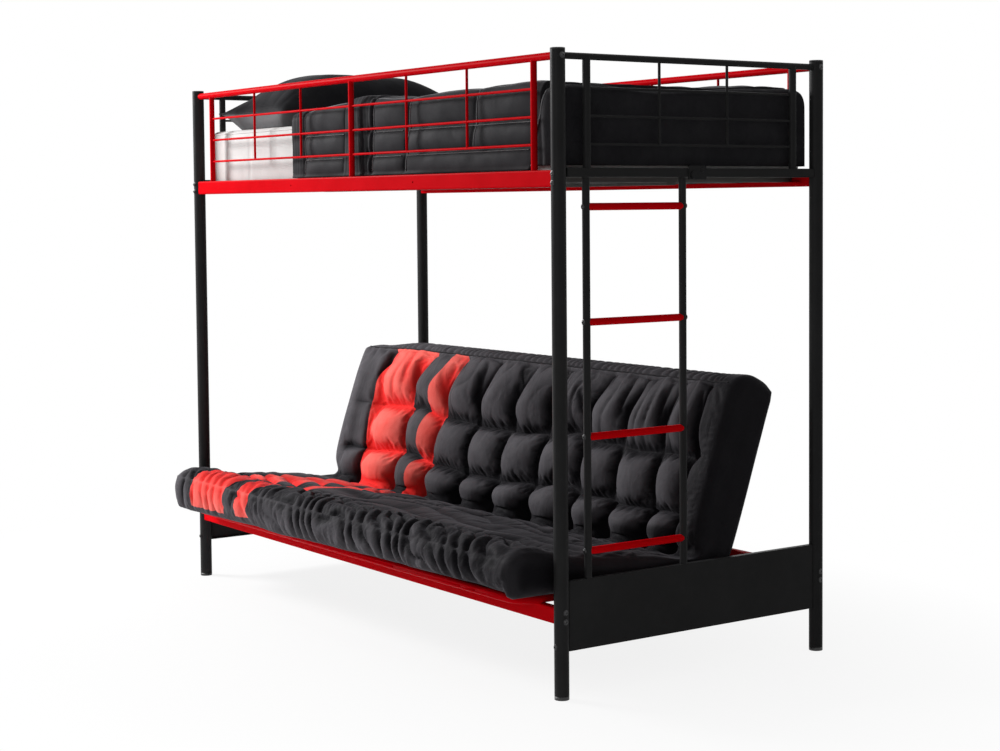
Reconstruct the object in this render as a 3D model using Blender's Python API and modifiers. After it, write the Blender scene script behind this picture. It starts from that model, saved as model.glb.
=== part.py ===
"""Futon bunk bed: a single bed on slats over a folding futon, in a steel tube frame.

Metres, +Z up, floor at zero. X runs along the bed, -Y is the front.
The bed's own axes run through the middle of the four posts. The root empty moves the
whole bed back, so that the origin is under the middle of its outline.
"""

import math

import bmesh
import bpy
from mathutils import Matrix, Vector

for leftover in list(bpy.data.objects):
    bpy.data.objects.remove(leftover, do_unlink=True)

# Length, set by the futon's deck: the back deck, the seat deck round it, and the posts beyond
BACK_HALF_LENGTH = 0.9575
SEAT_OVERHANG = 0.0325
DECK_END_ROOM = 0.070
SEAT_HALF_LENGTH = BACK_HALF_LENGTH + SEAT_OVERHANG

# Posts
POST_X = SEAT_HALF_LENGTH + DECK_END_ROOM
POST_Y = 0.465
POST_RADIUS = 0.020
POST_WALL = 0.0015
BED_HEIGHT = 1.720
CAP_HEIGHT = 0.004
FOOT_HEIGHT = 0.010
PLUG_DEPTH = 0.010
FIT_GAP = 0.0003
CUT_OVERRUN = 0.004

# Bolts
BOLT_HEAD_RADIUS = 0.0075
BOLT_HEAD_HEIGHT = 0.0045
BOLT_RADIUS = 0.0030
BOLT_GRIP = 0.022
BOLT_FACE_SHARE = 0.55
WELD_SINK = 0.0006

# Upper side rails and slat ledges
RAIL_DEPTH = 0.026
RAIL_HEIGHT = 0.045
RAIL_DROP = 0.318
RAIL_TOP = BED_HEIGHT - RAIL_DROP
RAIL_BOTTOM = RAIL_TOP - RAIL_HEIGHT
RAIL_WALL = 0.0018
RAIL_EDGE = 0.004
RAIL_HOLE_X = 0.368
RAIL_HOLE_RADIUS = 0.003
RAIL_BOLT_SPREAD = 0.025
LEDGE_DEPTH = 0.020
LEDGE_THICKNESS = 0.003
LEDGE_END_GAP = 0.050

# Guard rails
GUARD_DROP = 0.020
GUARD_TOP = BED_HEIGHT - GUARD_DROP
GUARD_TUBE_RADIUS = 0.0105
GUARD_UPRIGHT_INSET = 0.1065
GUARD_UPRIGHT_X = POST_X - GUARD_UPRIGHT_INSET
GUARD_UPRIGHT_RADIUS = 0.009
ROD_RADIUS = 0.0040
LINE_RADIUS = 0.0036
ROD_RISE = 0.068
ROD_LOWEST = RAIL_TOP + ROD_RISE
ROD_PITCH = 0.074
ROD_COUNT = 3
GUARD_PANELS = 2
GUARD_RODS_PER_PANEL = 2

# End frames
END_TUBE_RADIUS = 0.009
END_UPRIGHT_Y = 0.371
END_UPRIGHT_RADIUS = 0.011
END_ROD_Y = 0.122
BEAM_RISE = 0.006
BEAM_HEIGHT = 0.025
BEAM_TOP = RAIL_TOP + BEAM_RISE
BEAM_BOTTOM = BEAM_TOP - BEAM_HEIGHT
BEAM_DEPTH = 0.025

# End panels
PANEL_BOTTOM = 0.127
PANEL_TOP = 0.314
PANEL_INSET = 0.008
PANEL_DEPTH = 0.0155
PANEL_SHEET = 0.0015
PANEL_BOLT_Z = 0.142

# Ladder
LADDER_REAR_Y = 0.0415
LADDER_FRONT_Y = 0.375
LADDER_TUBE_RADIUS = 0.0105
RUNG_RADIUS = 0.010
RUNG_LOWEST = 0.387
RUNG_TOP_ROOM = 0.078
RUNG_COUNT = 4
RUNG_PITCH = (BEAM_BOTTOM - RUNG_TOP_ROOM - RUNG_LOWEST) / (RUNG_COUNT - 1)
HOOK_WIDTH = 0.062
HOOK_HEIGHT = 0.038
HOOK_SHEET = 0.004
HOOK_BOSS_RADIUS = 0.010

# Upper slats
SLAT_COUNT = 10
SLAT_WIDTH = 0.045
SLAT_THICKNESS = 0.0155
SLAT_END_GAP = 0.004
SLAT_SPAN_SHARE = 0.90
SLAT_TIE_WIDTH = 0.030
SLAT_TIE_DEPTH = 0.010
SLAT_TIE_LAP = 0.002

# Upper bedding
MATTRESS_END_GAP = 0.030
MATTRESS_RISE = 0.175
MATTRESS_X = POST_X - MATTRESS_END_GAP
MATTRESS_Y = 0.430
MATTRESS_TOP = RAIL_TOP + MATTRESS_RISE
MATTRESS_ROUNDING = 0.022
QUILT_LENGTH = 1.346
QUILT_END_GAP = 0.124
QUILT_RIGHT = MATTRESS_X - QUILT_END_GAP
QUILT_LEFT = QUILT_RIGHT - QUILT_LENGTH
QUILT_SIDE = 0.0205
QUILT_TOP = 0.040
QUILT_RISE = 0.020
QUILT_PUFF = 0.007
QUILT_ROWS = 3
QUILT_HEM = 0.0015
THROW_OVERLAP = 0.014
THROW_RIGHT = MATTRESS_X + THROW_OVERLAP
THROW_TOP = 0.066
THROW_HEM = 0.012
THROW_FOLD = 0.004
THROW_FOLDS = 7
PILLOW_END_GAP = 0.025
PILLOW_QUILT_GAP = 0.060
PILLOW_LEFT = PILLOW_END_GAP - MATTRESS_X
PILLOW_RIGHT = QUILT_LEFT - PILLOW_QUILT_GAP
PILLOW_FRONT = -0.420
PILLOW_BACK = 0.350
PILLOW_HEIGHT = 0.195
PILLOW_EDGE = 0.016

# Futon support rails and slide tracks
FUTON_RAIL_BOTTOM = 0.200
FUTON_RAIL_TOP = 0.245
TRACK_SHEET = 0.0025
TRACK_FLANGE = 0.018
TRACK_STANDOFF = 0.014
TRACK_FRONT_Y = -0.300
TRACK_REAR_Y = 0.120
GLIDE_RADIUS = 0.0120
GLIDE_WIDTH = 0.016
GLIDE_Y = 0.060
GLIDE_AXLE_RADIUS = 0.005

# Seat frame of the futon
HINGE_Y = 0.170
DECK_CENTRE = 0.258
DECK_TUBE_RADIUS = 0.0125
SEAT_FRONT_Y = 0.540
SEAT_REAR_Y = 0.130
SEAT_CORNER = 0.060
LUG_THICKNESS = 0.008
LUG_LAP = 0.050
SEAT_HOLE_RADIUS = 0.0035
SEAT_HOLE_SHARES = (0.355, 0.712, 0.786)
GRILLE_BARS = 9
GRILLE_WIDTH = 0.022
GRILLE_THICKNESS = 0.006
GRILLE_TIE_WIDTH = 0.016
GRILLE_TIE_THICKNESS = 0.0045
GRILLE_TIE_SHARES = (0.30, 0.72)

# Back frame of the futon, hinged behind the seat
BACK_LEAN = math.radians(20)
BACK_HEIGHT = 0.520
BACK_CORNER = 0.060
PIN_RADIUS = 0.005
PIN_GRIP = 0.018
PIN_HEAD_RADIUS = 0.009
PIN_HEAD_HEIGHT = 0.003
PLATE_THICKNESS = 0.004
PLATE_REACH = 0.085
PLATE_HEIGHT = 0.055
PLATE_DROP = 0.012

# Futon mattress, folded between seat and back
FUTON_END_GAP = 0.026
FUTON_X = POST_X - FUTON_END_GAP
FUTON_COLUMNS = 10
FUTON_TUFT = 0.018
FUTON_END_ROUNDING = 0.016
SEAT_DEPTH = 0.790
SEAT_REACH_SHARE = 0.99646
SEAT_LOFT = 0.145
BACK_DEPTH = 0.192
BACK_RISE = 0.566

PARTS = bpy.data.collections.new("futon_bunk_bed")
CUTTERS = bpy.data.collections.new("cutters")
bpy.context.scene.collection.children.link(PARTS)
bpy.context.scene.collection.children.link(CUTTERS)


def empty(name, location, turn, parent):
    item = bpy.data.objects.new(name, None)
    item.location = location
    item.rotation_euler = (turn, 0, 0)
    item.parent = parent
    PARTS.objects.link(item)
    return item


front_reach = SEAT_DEPTH * SEAT_REACH_SHARE - HINGE_Y
rear_reach = POST_Y + POST_RADIUS + BOLT_HEAD_HEIGHT
ROOT = empty("bed_axes", (0, (front_reach - rear_reach) / 2, 0), 0, None)
SEAT = empty("futon_slide_axis", (0, HINGE_Y, DECK_CENTRE), 0, ROOT)
BACK = empty("back_hinge_axis", (0, 0, 0), -BACK_LEAN, SEAT)


def material(name, colour, roughness, metallic):
    made = bpy.data.materials.new(name)
    made.use_nodes = True
    shader = made.node_tree.nodes["Principled BSDF"]
    shader.inputs["Base Color"].default_value = (*colour, 1)
    shader.inputs["Roughness"].default_value = roughness
    shader.inputs["Metallic"].default_value = metallic
    made.diffuse_color = (*colour, 1)
    return made


RED = material("red_enamel", (0.72, 0.006, 0.014), 0.28, 0)
DARK_RED = material("dark_red_enamel", (0.42, 0.004, 0.010), 0.32, 0)
BLACK = material("black_enamel", (0.012, 0.012, 0.013), 0.36, 0)
SLAT_WOOD = material("black_slat_wood", (0.020, 0.018, 0.017), 0.60, 0)
ZINC = material("zinc_steel", (0.42, 0.42, 0.43), 0.35, 1)
BOLT_BLACK = material("black_bolt", (0.02, 0.02, 0.02), 0.40, 1)
PLASTIC = material("black_plastic", (0.015, 0.015, 0.015), 0.50, 0)
TICKING = material("white_ticking", (0.82, 0.82, 0.80), 0.90, 0)
CHARCOAL = material("charcoal_quilting", (0.060, 0.060, 0.064), 0.80, 0)
THROW_CLOTH = material("black_throw_cloth", (0.014, 0.014, 0.015), 0.85, 0)
PILLOW_CLOTH = material("dark_pillow_cloth", (0.022, 0.022, 0.025), 0.85, 0)
TWILL = material("black_futon_twill", (0.018, 0.017, 0.020), 0.85, 0)


def place(name, mesh, surface, parent=ROOT, hidden=False):
    """Links a mesh as a named part, or as a cutter that isn't drawn."""
    item = bpy.data.objects.new(name, mesh)
    mesh.materials.append(surface)
    item.parent = parent
    (CUTTERS if hidden else PARTS).objects.link(item)
    if hidden:
        item.hide_render = True
        item.display_type = "WIRE"
    return item


def finished(bm, name, smooth=True):
    bmesh.ops.recalc_face_normals(bm, faces=bm.faces)
    mesh = bpy.data.meshes.new(name)
    bm.to_mesh(mesh)
    bm.free()
    if smooth:
        mesh.shade_smooth()
        mesh.set_sharp_from_angle(angle=math.radians(40))
    return mesh


def rod(bm, start, end, radius, sides=10, open_ended=False):
    start = Vector(start)
    end = Vector(end)
    turn = (end - start).to_track_quat("Z", "Y").to_matrix().to_4x4()
    bmesh.ops.create_cone(
        bm,
        cap_ends=not open_ended,
        segments=sides,
        radius1=radius,
        radius2=radius,
        depth=(end - start).length,
        matrix=Matrix.Translation((start + end) / 2) @ turn,
    )


def block(bm, low, high):
    size = [b - a for a, b in zip(low, high)]
    middle = [(a + b) / 2 for a, b in zip(low, high)]
    made = bmesh.ops.create_cube(
        bm, size=1, matrix=Matrix.Translation(middle) @ Matrix.Diagonal((*size, 1))
    )
    return made["verts"]


def rods(name, runs, radius, surface, parent=ROOT, sides=10, hidden=False):
    """One mesh of round bars that don't touch each other."""
    bm = bmesh.new()
    for start, end in runs:
        rod(bm, start, end, radius, sides)
    return place(name, finished(bm, name), surface, parent, hidden)


def blocks(name, boxes, surface, parent=ROOT, hidden=False):
    """One mesh of square bars that don't touch each other."""
    bm = bmesh.new()
    for low, high in boxes:
        block(bm, low, high)
    return place(name, finished(bm, name, smooth=False), surface, parent, hidden)


def join(item, other, operation="UNION"):
    change = item.modifiers.new(operation.lower(), "BOOLEAN")
    change.operation = operation
    change.solver = "EXACT"
    change.object = other


def cut(item, other):
    join(item, other, "DIFFERENCE")


def turned(name, profile, surface, location, aim, parent=ROOT, sides=16):
    """A profile of (radius, height) points, top to bottom down its outer side, turned about Z."""
    mesh = bpy.data.meshes.new(name)
    bm = bmesh.new()
    points = [bm.verts.new((radius, 0, height)) for radius, height in profile]
    for first, second in zip(points, points[1:]):
        bm.edges.new((first, second))
    bm.to_mesh(mesh)
    bm.free()
    item = place(name, mesh, surface, parent)
    item.location = location
    item.rotation_mode = "QUATERNION"
    item.rotation_quaternion = Vector(aim).to_track_quat("Z", "Y")
    screw = item.modifiers.new("turn", "SCREW")
    screw.steps = sides
    screw.render_steps = sides
    screw.use_merge_vertices = True
    screw.merge_threshold = 0.0001
    screw.use_smooth_shade = False
    return item


def bent_tube(name, points, radius, closed, surface, parent, sides=10):
    """A round tube along a path, as a curve with filled caps made into a mesh."""
    curve = bpy.data.curves.new(name, "CURVE")
    curve.dimensions = "3D"
    curve.bevel_depth = radius
    curve.bevel_resolution = (sides - 4) // 2
    curve.use_fill_caps = True
    path = curve.splines.new("POLY")
    path.points.add(len(points) - 1)
    for point, place_at in zip(path.points, points):
        point.co = (*place_at, 1)
    path.use_cyclic_u = closed
    guide = bpy.data.objects.new(name + "_path", curve)
    CUTTERS.objects.link(guide)
    bpy.context.view_layer.update()
    graph = bpy.context.evaluated_depsgraph_get()
    mesh = bpy.data.meshes.new_from_object(guide.evaluated_get(graph))
    mesh.name = name
    bpy.data.objects.remove(guide, do_unlink=True)
    bm = bmesh.new()
    bm.from_mesh(mesh)
    bmesh.ops.remove_doubles(bm, verts=bm.verts, dist=0.0001)
    bmesh.ops.recalc_face_normals(bm, faces=bm.faces)
    bm.to_mesh(mesh)
    bm.free()
    mesh.materials.clear()
    mesh.shade_smooth()
    return place(name, mesh, surface, parent)


def corner(centre, radius, start_angle, steps=4):
    """Points of a quarter circle in the XY plane of (a, b) pairs."""
    return [
        (
            centre[0] + radius * math.cos(start_angle + math.pi / 2 * step / steps),
            centre[1] + radius * math.sin(start_angle + math.pi / 2 * step / steps),
        )
        for step in range(steps + 1)
    ]


def loft(name, rings, surface, parent=ROOT, levels=0):
    """A closed skin through rings of equally many points, with a face on each end."""
    bm = bmesh.new()
    loops = [[bm.verts.new(point) for point in ring] for ring in rings]
    for ring, following in zip(loops, loops[1:]):
        for index in range(len(ring)):
            after = (index + 1) % len(ring)
            bm.faces.new((ring[index], ring[after], following[after], following[index]))
    bm.faces.new(loops[0])
    bm.faces.new(loops[-1])
    item = place(name, finished(bm, name), surface, parent)
    if levels:
        soften = item.modifiers.new("soften", "SUBSURF")
        soften.levels = levels
        soften.render_levels = levels
    return item


def soft_block(name, surface, cuts, shape, parent=ROOT):
    """A cube cut into a grid, with each corner of the grid moved by a rule."""
    bm = bmesh.new()
    bmesh.ops.create_cube(bm, size=2)
    bmesh.ops.subdivide_edges(bm, edges=bm.edges, cuts=cuts, use_grid_fill=True)
    for vert in bm.verts:
        vert.co = shape(*vert.co)
    return place(name, finished(bm, name), surface, parent)


SIDES = (("left", -1), ("right", 1))
FACES = (("front", -1), ("rear", 1))


# Cutters in the shape of the posts shape every rail end to the post that it meets.
post_clearance = rods(
    "post_clearance",
    [
        ((sx * POST_X, sy * POST_Y, -CUT_OVERRUN), (sx * POST_X, sy * POST_Y, BED_HEIGHT))
        for _, sx in SIDES
        for _, sy in FACES
    ],
    POST_RADIUS + FIT_GAP,
    BLACK,
    sides=24,
    hidden=True,
)

rail_bolt_heights = (
    (RAIL_BOTTOM + RAIL_TOP + RAIL_BOLT_SPREAD) / 2,
    (RAIL_BOTTOM + RAIL_TOP - RAIL_BOLT_SPREAD) / 2,
)
futon_bolt_heights = (
    (FUTON_RAIL_BOTTOM + FUTON_RAIL_TOP + RAIL_BOLT_SPREAD) / 2,
    (FUTON_RAIL_BOTTOM + FUTON_RAIL_TOP - RAIL_BOLT_SPREAD) / 2,
)
bolt_profile = (
    (0, BOLT_HEAD_HEIGHT),
    (BOLT_HEAD_RADIUS * BOLT_FACE_SHARE, BOLT_HEAD_HEIGHT),
    (BOLT_HEAD_RADIUS, 0),
    (BOLT_RADIUS, 0),
    (BOLT_RADIUS, -2 * POST_RADIUS - BOLT_GRIP),
    (0, -2 * POST_RADIUS - BOLT_GRIP),
)


def bolt_head(bm, seat, direction):
    """A low domed head, sunk a little into what it is welded to."""
    direction = Vector(direction)
    turn = direction.to_track_quat("Z", "Y").to_matrix().to_4x4()
    height = BOLT_HEAD_HEIGHT + WELD_SINK
    middle = Vector(seat) + direction * (height / 2 - WELD_SINK)
    bmesh.ops.create_cone(
        bm,
        cap_ends=True,
        segments=8,
        radius1=BOLT_HEAD_RADIUS,
        radius2=BOLT_HEAD_RADIUS * BOLT_FACE_SHARE,
        depth=height,
        matrix=Matrix.Translation(middle) @ turn,
    )


for end, sx in SIDES:
    for face, sy in FACES:
        where = face + "_" + end
        x = sx * POST_X
        y = sy * POST_Y
        bore = POST_RADIUS - POST_WALL - FIT_GAP

        bm = bmesh.new()
        rod(
            bm,
            (x, y, FOOT_HEIGHT + FIT_GAP),
            (x, y, BED_HEIGHT - CAP_HEIGHT - FIT_GAP),
            POST_RADIUS,
            24,
            open_ended=True,
        )
        post = place("post_" + where, finished(bm, "post"), BLACK)
        wall = post.modifiers.new("wall", "SOLIDIFY")
        wall.thickness = POST_WALL
        wall.offset = -1
        cut(
            post,
            rods(
                "bolt_holes_" + where,
                [
                    (
                        (x - POST_RADIUS - CUT_OVERRUN, y, height),
                        (x + POST_RADIUS + CUT_OVERRUN, y, height),
                    )
                    for height in (GUARD_TOP, *rail_bolt_heights)
                ],
                BOLT_RADIUS + FIT_GAP,
                BLACK,
                sides=8,
                hidden=True,
            ),
        )
        bm = bmesh.new()
        for height in futon_bolt_heights:
            bolt_head(bm, (x + sx * POST_RADIUS, y, height), (sx, 0, 0))
        bolt_head(bm, (x, y + sy * POST_RADIUS, PANEL_BOLT_Z), (0, sy, 0))
        join(post, place("bolt_heads_" + where, finished(bm, "heads"), BLACK, hidden=True))

        turned(
            "post_cap_" + where,
            (
                (0, CAP_HEIGHT),
                (POST_RADIUS - CAP_HEIGHT / 4, CAP_HEIGHT),
                (POST_RADIUS, CAP_HEIGHT * 3 / 4),
                (POST_RADIUS, 0),
                (bore, 0),
                (bore, -PLUG_DEPTH),
                (0, -PLUG_DEPTH),
            ),
            PLASTIC,
            (x, y, BED_HEIGHT - CAP_HEIGHT),
            (0, 0, 1),
            sides=24,
        )
        turned(
            "post_foot_" + where,
            (
                (0, FOOT_HEIGHT + PLUG_DEPTH),
                (bore, FOOT_HEIGHT + PLUG_DEPTH),
                (bore, FOOT_HEIGHT),
                (POST_RADIUS, FOOT_HEIGHT),
                (POST_RADIUS, 0),
                (0, 0),
            ),
            PLASTIC,
            (x, y, 0),
            (0, 0, 1),
            sides=24,
        )
        for label, height in zip(("guard_bolt_", "rail_bolt_upper_", "rail_bolt_lower_"),
                                 (GUARD_TOP, *rail_bolt_heights)):
            turned(
                label + where,
                bolt_profile,
                BOLT_BLACK,
                (x + sx * (POST_RADIUS + FIT_GAP), y, height),
                (sx, 0, 0),
                sides=10,
            )


def square_rail(name, y, bottom, top, depth, surface):
    """A hollow rail between two posts, its ends shaped to them."""
    bm = bmesh.new()
    block(bm, (-POST_X, y - depth / 2, bottom), (POST_X, y + depth / 2, top))
    ends = [face for face in bm.faces if abs(face.normal.x) > abs(face.normal.y + face.normal.z)]
    bmesh.ops.delete(bm, geom=ends, context="FACES_ONLY")
    mesh = bpy.data.meshes.new(name)
    bm.to_mesh(mesh)
    bm.free()
    item = place(name, mesh, surface)
    soft = item.modifiers.new("edges", "BEVEL")
    soft.width = RAIL_EDGE
    soft.segments = 2
    soft.limit_method = "ANGLE"
    wall = item.modifiers.new("wall", "SOLIDIFY")
    wall.thickness = RAIL_WALL
    wall.offset = -1
    cut(item, post_clearance)
    return item


for face, sy in FACES:
    y = sy * POST_Y
    rail = square_rail("side_rail_" + face, y, RAIL_BOTTOM, RAIL_TOP, RAIL_DEPTH, RED)
    outer_y = y + sy * RAIL_DEPTH / 2
    cut(
        rail,
        rods(
            "rail_holes_" + face,
            [
                (
                    (s * RAIL_HOLE_X, outer_y - sy * (RAIL_WALL + CUT_OVERRUN), height),
                    (s * RAIL_HOLE_X, outer_y + sy * CUT_OVERRUN, height),
                )
                for s in (-1, 1)
                for height in [(RAIL_BOTTOM + RAIL_TOP) / 2]
            ],
            RAIL_HOLE_RADIUS,
            BLACK,
            hidden=True,
            sides=8,
        ),
    )
    inner_y = sorted((sy * (POST_Y - RAIL_DEPTH / 2 + WELD_SINK),
                      sy * (POST_Y - RAIL_DEPTH / 2 - LEDGE_DEPTH)))
    ledge_top = BEAM_BOTTOM - SLAT_THICKNESS + LEDGE_THICKNESS
    ledge = blocks(
        "slat_ledge_" + face,
        [
            (
                (-POST_X + LEDGE_END_GAP, inner_y[0], ledge_top - LEDGE_THICKNESS),
                (POST_X - LEDGE_END_GAP, inner_y[1], ledge_top),
            )
        ],
        RED,
        hidden=True,
    )
    join(rail, ledge)

    square_rail("futon_rail_" + face, y, FUTON_RAIL_BOTTOM, FUTON_RAIL_TOP,
                2 * DECK_TUBE_RADIUS, DARK_RED)

    # Guard: one heavy top tube, three uprights, thin rods both ways
    rod_heights = [ROD_LOWEST + ROD_PITCH * row for row in range(ROD_COUNT)]
    guard = rods(
        "guard_rail_" + face,
        [((-POST_X, y, GUARD_TOP), (POST_X, y, GUARD_TOP))],
        GUARD_TUBE_RADIUS,
        RED,
        sides=12,
    )
    join(
        guard,
        rods(
            "guard_uprights_" + face,
            [
                ((side * GUARD_UPRIGHT_X, y, RAIL_TOP + FIT_GAP),
                 (side * GUARD_UPRIGHT_X, y, GUARD_TOP))
                for side in (-1, 0, 1)
            ],
            GUARD_UPRIGHT_RADIUS,
            RED,
            sides=10,
            hidden=True,
        ),
    )
    lines = rods(
        "guard_lines_" + face,
        [
            ((-GUARD_UPRIGHT_X, y, height), (GUARD_UPRIGHT_X, y, height))
            for height in rod_heights
        ],
        LINE_RADIUS,
        RED,
        sides=6,
        hidden=True,
    )
    rod_places = [
        -GUARD_UPRIGHT_X + GUARD_UPRIGHT_X * panel
        + GUARD_UPRIGHT_X * (index + 1) / (GUARD_RODS_PER_PANEL + 1)
        for panel in range(GUARD_PANELS)
        for index in range(GUARD_RODS_PER_PANEL)
    ]
    uprights = rods(
        "guard_rods_" + face,
        [((x, y, ROD_LOWEST - LINE_RADIUS / 2), (x, y, GUARD_TOP)) for x in rod_places],
        ROD_RADIUS,
        RED,
        sides=6,
        hidden=True,
    )
    join(guard, lines)
    join(guard, uprights)
    cut(guard, post_clearance)
    cut(
        guard,
        rods(
            "guard_bolt_bores_" + face,
            [
                ((sx * (POST_X - POST_RADIUS - BOLT_GRIP - FIT_GAP), y, GUARD_TOP),
                 (sx * POST_X, y, GUARD_TOP))
                for _, sx in SIDES
            ],
            BOLT_RADIUS + FIT_GAP,
            RED,
            sides=8,
            hidden=True,
        ),
    )


for end, sx in SIDES:
    x = sx * POST_X
    # End frame of the upper bunk
    frame = rods(
        "end_frame_" + end,
        [((x, -POST_Y, GUARD_TOP), (x, POST_Y, GUARD_TOP))],
        END_TUBE_RADIUS,
        BLACK,
        sides=10,
    )
    beam = blocks(
        "end_beam_" + end,
        [((x - BEAM_DEPTH / 2, -POST_Y, BEAM_BOTTOM), (x + BEAM_DEPTH / 2, POST_Y, BEAM_TOP))],
        BLACK,
        hidden=True,
    )
    stiles = rods(
        "end_uprights_" + end,
        [
            ((x, side * END_UPRIGHT_Y, (BEAM_BOTTOM + BEAM_TOP) / 2),
             (x, side * END_UPRIGHT_Y, GUARD_TOP))
            for side in (-1, 1)
        ],
        END_UPRIGHT_RADIUS,
        BLACK,
        sides=10,
        hidden=True,
    )
    lines = rods(
        "end_lines_" + end,
        [
            ((x, -END_UPRIGHT_Y, ROD_LOWEST + ROD_PITCH * row),
             (x, END_UPRIGHT_Y, ROD_LOWEST + ROD_PITCH * row))
            for row in range(ROD_COUNT)
        ],
        LINE_RADIUS,
        BLACK,
        sides=6,
        hidden=True,
    )
    uprights = rods(
        "end_rods_" + end,
        [
            ((x, side * END_ROD_Y, ROD_LOWEST - LINE_RADIUS / 2), (x, side * END_ROD_Y, GUARD_TOP))
            for side in (-1, 1)
        ],
        ROD_RADIUS,
        BLACK,
        sides=6,
        hidden=True,
    )
    for member in (stiles, beam, lines, uprights):
        join(frame, member)
    cut(frame, post_clearance)

    # End panel: a shallow folded tray, open towards the bed
    outer_x = POST_X + PANEL_INSET
    half = POST_Y - POST_RADIUS - 2 * FIT_GAP
    low_x, high_x = sorted((sx * outer_x, sx * (outer_x - PANEL_DEPTH)))
    bm = bmesh.new()
    block(bm, (low_x, -half, PANEL_BOTTOM), (high_x, half, PANEL_TOP))
    inner = [face for face in bm.faces if face.normal.x * sx < -abs(face.normal.y + face.normal.z)]
    bmesh.ops.delete(bm, geom=inner, context="FACES_ONLY")
    mesh = bpy.data.meshes.new("end_panel")
    bm.to_mesh(mesh)
    bm.free()
    panel = place("end_panel_" + end, mesh, BLACK)
    sheet = panel.modifiers.new("sheet", "SOLIDIFY")
    sheet.thickness = PANEL_SHEET
    sheet.offset = -1
    sheet.use_even_offset = True

    # Slide track for the futon seat, stood off the panel's web
    web_x = outer_x - PANEL_SHEET - TRACK_STANDOFF
    track_half = GLIDE_RADIUS + FIT_GAP
    low_x, high_x = sorted((sx * (web_x - TRACK_FLANGE), sx * web_x))
    bm = bmesh.new()
    block(
        bm,
        (low_x, TRACK_FRONT_Y, DECK_CENTRE - track_half - TRACK_SHEET),
        (high_x, TRACK_REAR_Y, DECK_CENTRE + track_half + TRACK_SHEET),
    )
    inner = [face for face in bm.faces if face.normal.x * sx < -abs(face.normal.y + face.normal.z)]
    bmesh.ops.delete(bm, geom=inner, context="FACES_ONLY")
    mesh = bpy.data.meshes.new("slide_track")
    bm.to_mesh(mesh)
    bm.free()
    track = place("slide_track_" + end, mesh, BLACK)
    sheet = track.modifiers.new("sheet", "SOLIDIFY")
    sheet.thickness = TRACK_SHEET
    sheet.offset = -1
    sheet.use_even_offset = True
    join(
        track,
        rods(
            "track_standoffs_" + end,
            [
                ((sx * (web_x - WELD_SINK), place_y, DECK_CENTRE),
                 (sx * (web_x + TRACK_STANDOFF - FIT_GAP), place_y, DECK_CENTRE))
                for place_y in (TRACK_FRONT_Y + LUG_LAP, TRACK_REAR_Y - LUG_LAP)
            ],
            GLIDE_RADIUS,
            BLACK,
            sides=12,
            hidden=True,
        ),
    )

# Ladder in the plane of the right-hand end
ladder_ends = (PANEL_TOP + FIT_GAP, BEAM_BOTTOM - FIT_GAP)
rung_heights = [RUNG_LOWEST + RUNG_PITCH * step for step in range(RUNG_COUNT)]
ladder_clearance = rods(
    "ladder_clearance",
    [
        ((POST_X, -y, PANEL_TOP), (POST_X, -y, BEAM_BOTTOM))
        for y in (LADDER_FRONT_Y, LADDER_REAR_Y)
    ],
    LADDER_TUBE_RADIUS + FIT_GAP,
    BLACK,
    sides=16,
    hidden=True,
)
for face, y, out in (("front", -LADDER_FRONT_Y, -1), ("rear", -LADDER_REAR_Y, 1)):
    upright = rods(
        "ladder_upright_" + face,
        [((POST_X, y, ladder_ends[0]), (POST_X, y, ladder_ends[1]))],
        LADDER_TUBE_RADIUS,
        BLACK,
        sides=16,
    )
    bm = bmesh.new()
    for height in rung_heights:
        bolt_head(bm, (POST_X, y + out * LADDER_TUBE_RADIUS, height), (0, out, 0))
    join(upright, place("ladder_heads_" + face, finished(bm, "heads"), BLACK, hidden=True))
for step, height in enumerate(rung_heights):
    rung = rods(
        "ladder_rung_%d" % (step + 1),
        [((POST_X, -LADDER_FRONT_Y, height), (POST_X, -LADDER_REAR_Y, height))],
        RUNG_RADIUS,
        RED,
        sides=14,
    )
    cut(rung, ladder_clearance)

hook_x = POST_X + BEAM_DEPTH / 2 + FIT_GAP
hook_low = (hook_x, -HOOK_WIDTH / 2, (BEAM_BOTTOM + BEAM_TOP - HOOK_HEIGHT) / 2)
hook = blocks(
    "ladder_hook",
    [(hook_low, (hook_x + HOOK_SHEET, HOOK_WIDTH / 2, hook_low[2] + HOOK_HEIGHT))],
    BLACK,
)
bm = bmesh.new()
rod(
    bm,
    (hook_x, -HOOK_WIDTH / 4, hook_low[2] + HOOK_HEIGHT / 3),
    (hook_x + HOOK_SHEET + BOLT_HEAD_HEIGHT, -HOOK_WIDTH / 4, hook_low[2] + HOOK_HEIGHT / 3),
    HOOK_BOSS_RADIUS,
    14,
)
bolt_head(
    bm,
    (hook_x + HOOK_SHEET, HOOK_WIDTH / 4, hook_low[2] + HOOK_HEIGHT * 2 / 3),
    (1, 0, 0),
)
join(hook, place("hook_boss", finished(bm, "hook_boss"), BLACK, hidden=True))

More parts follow.
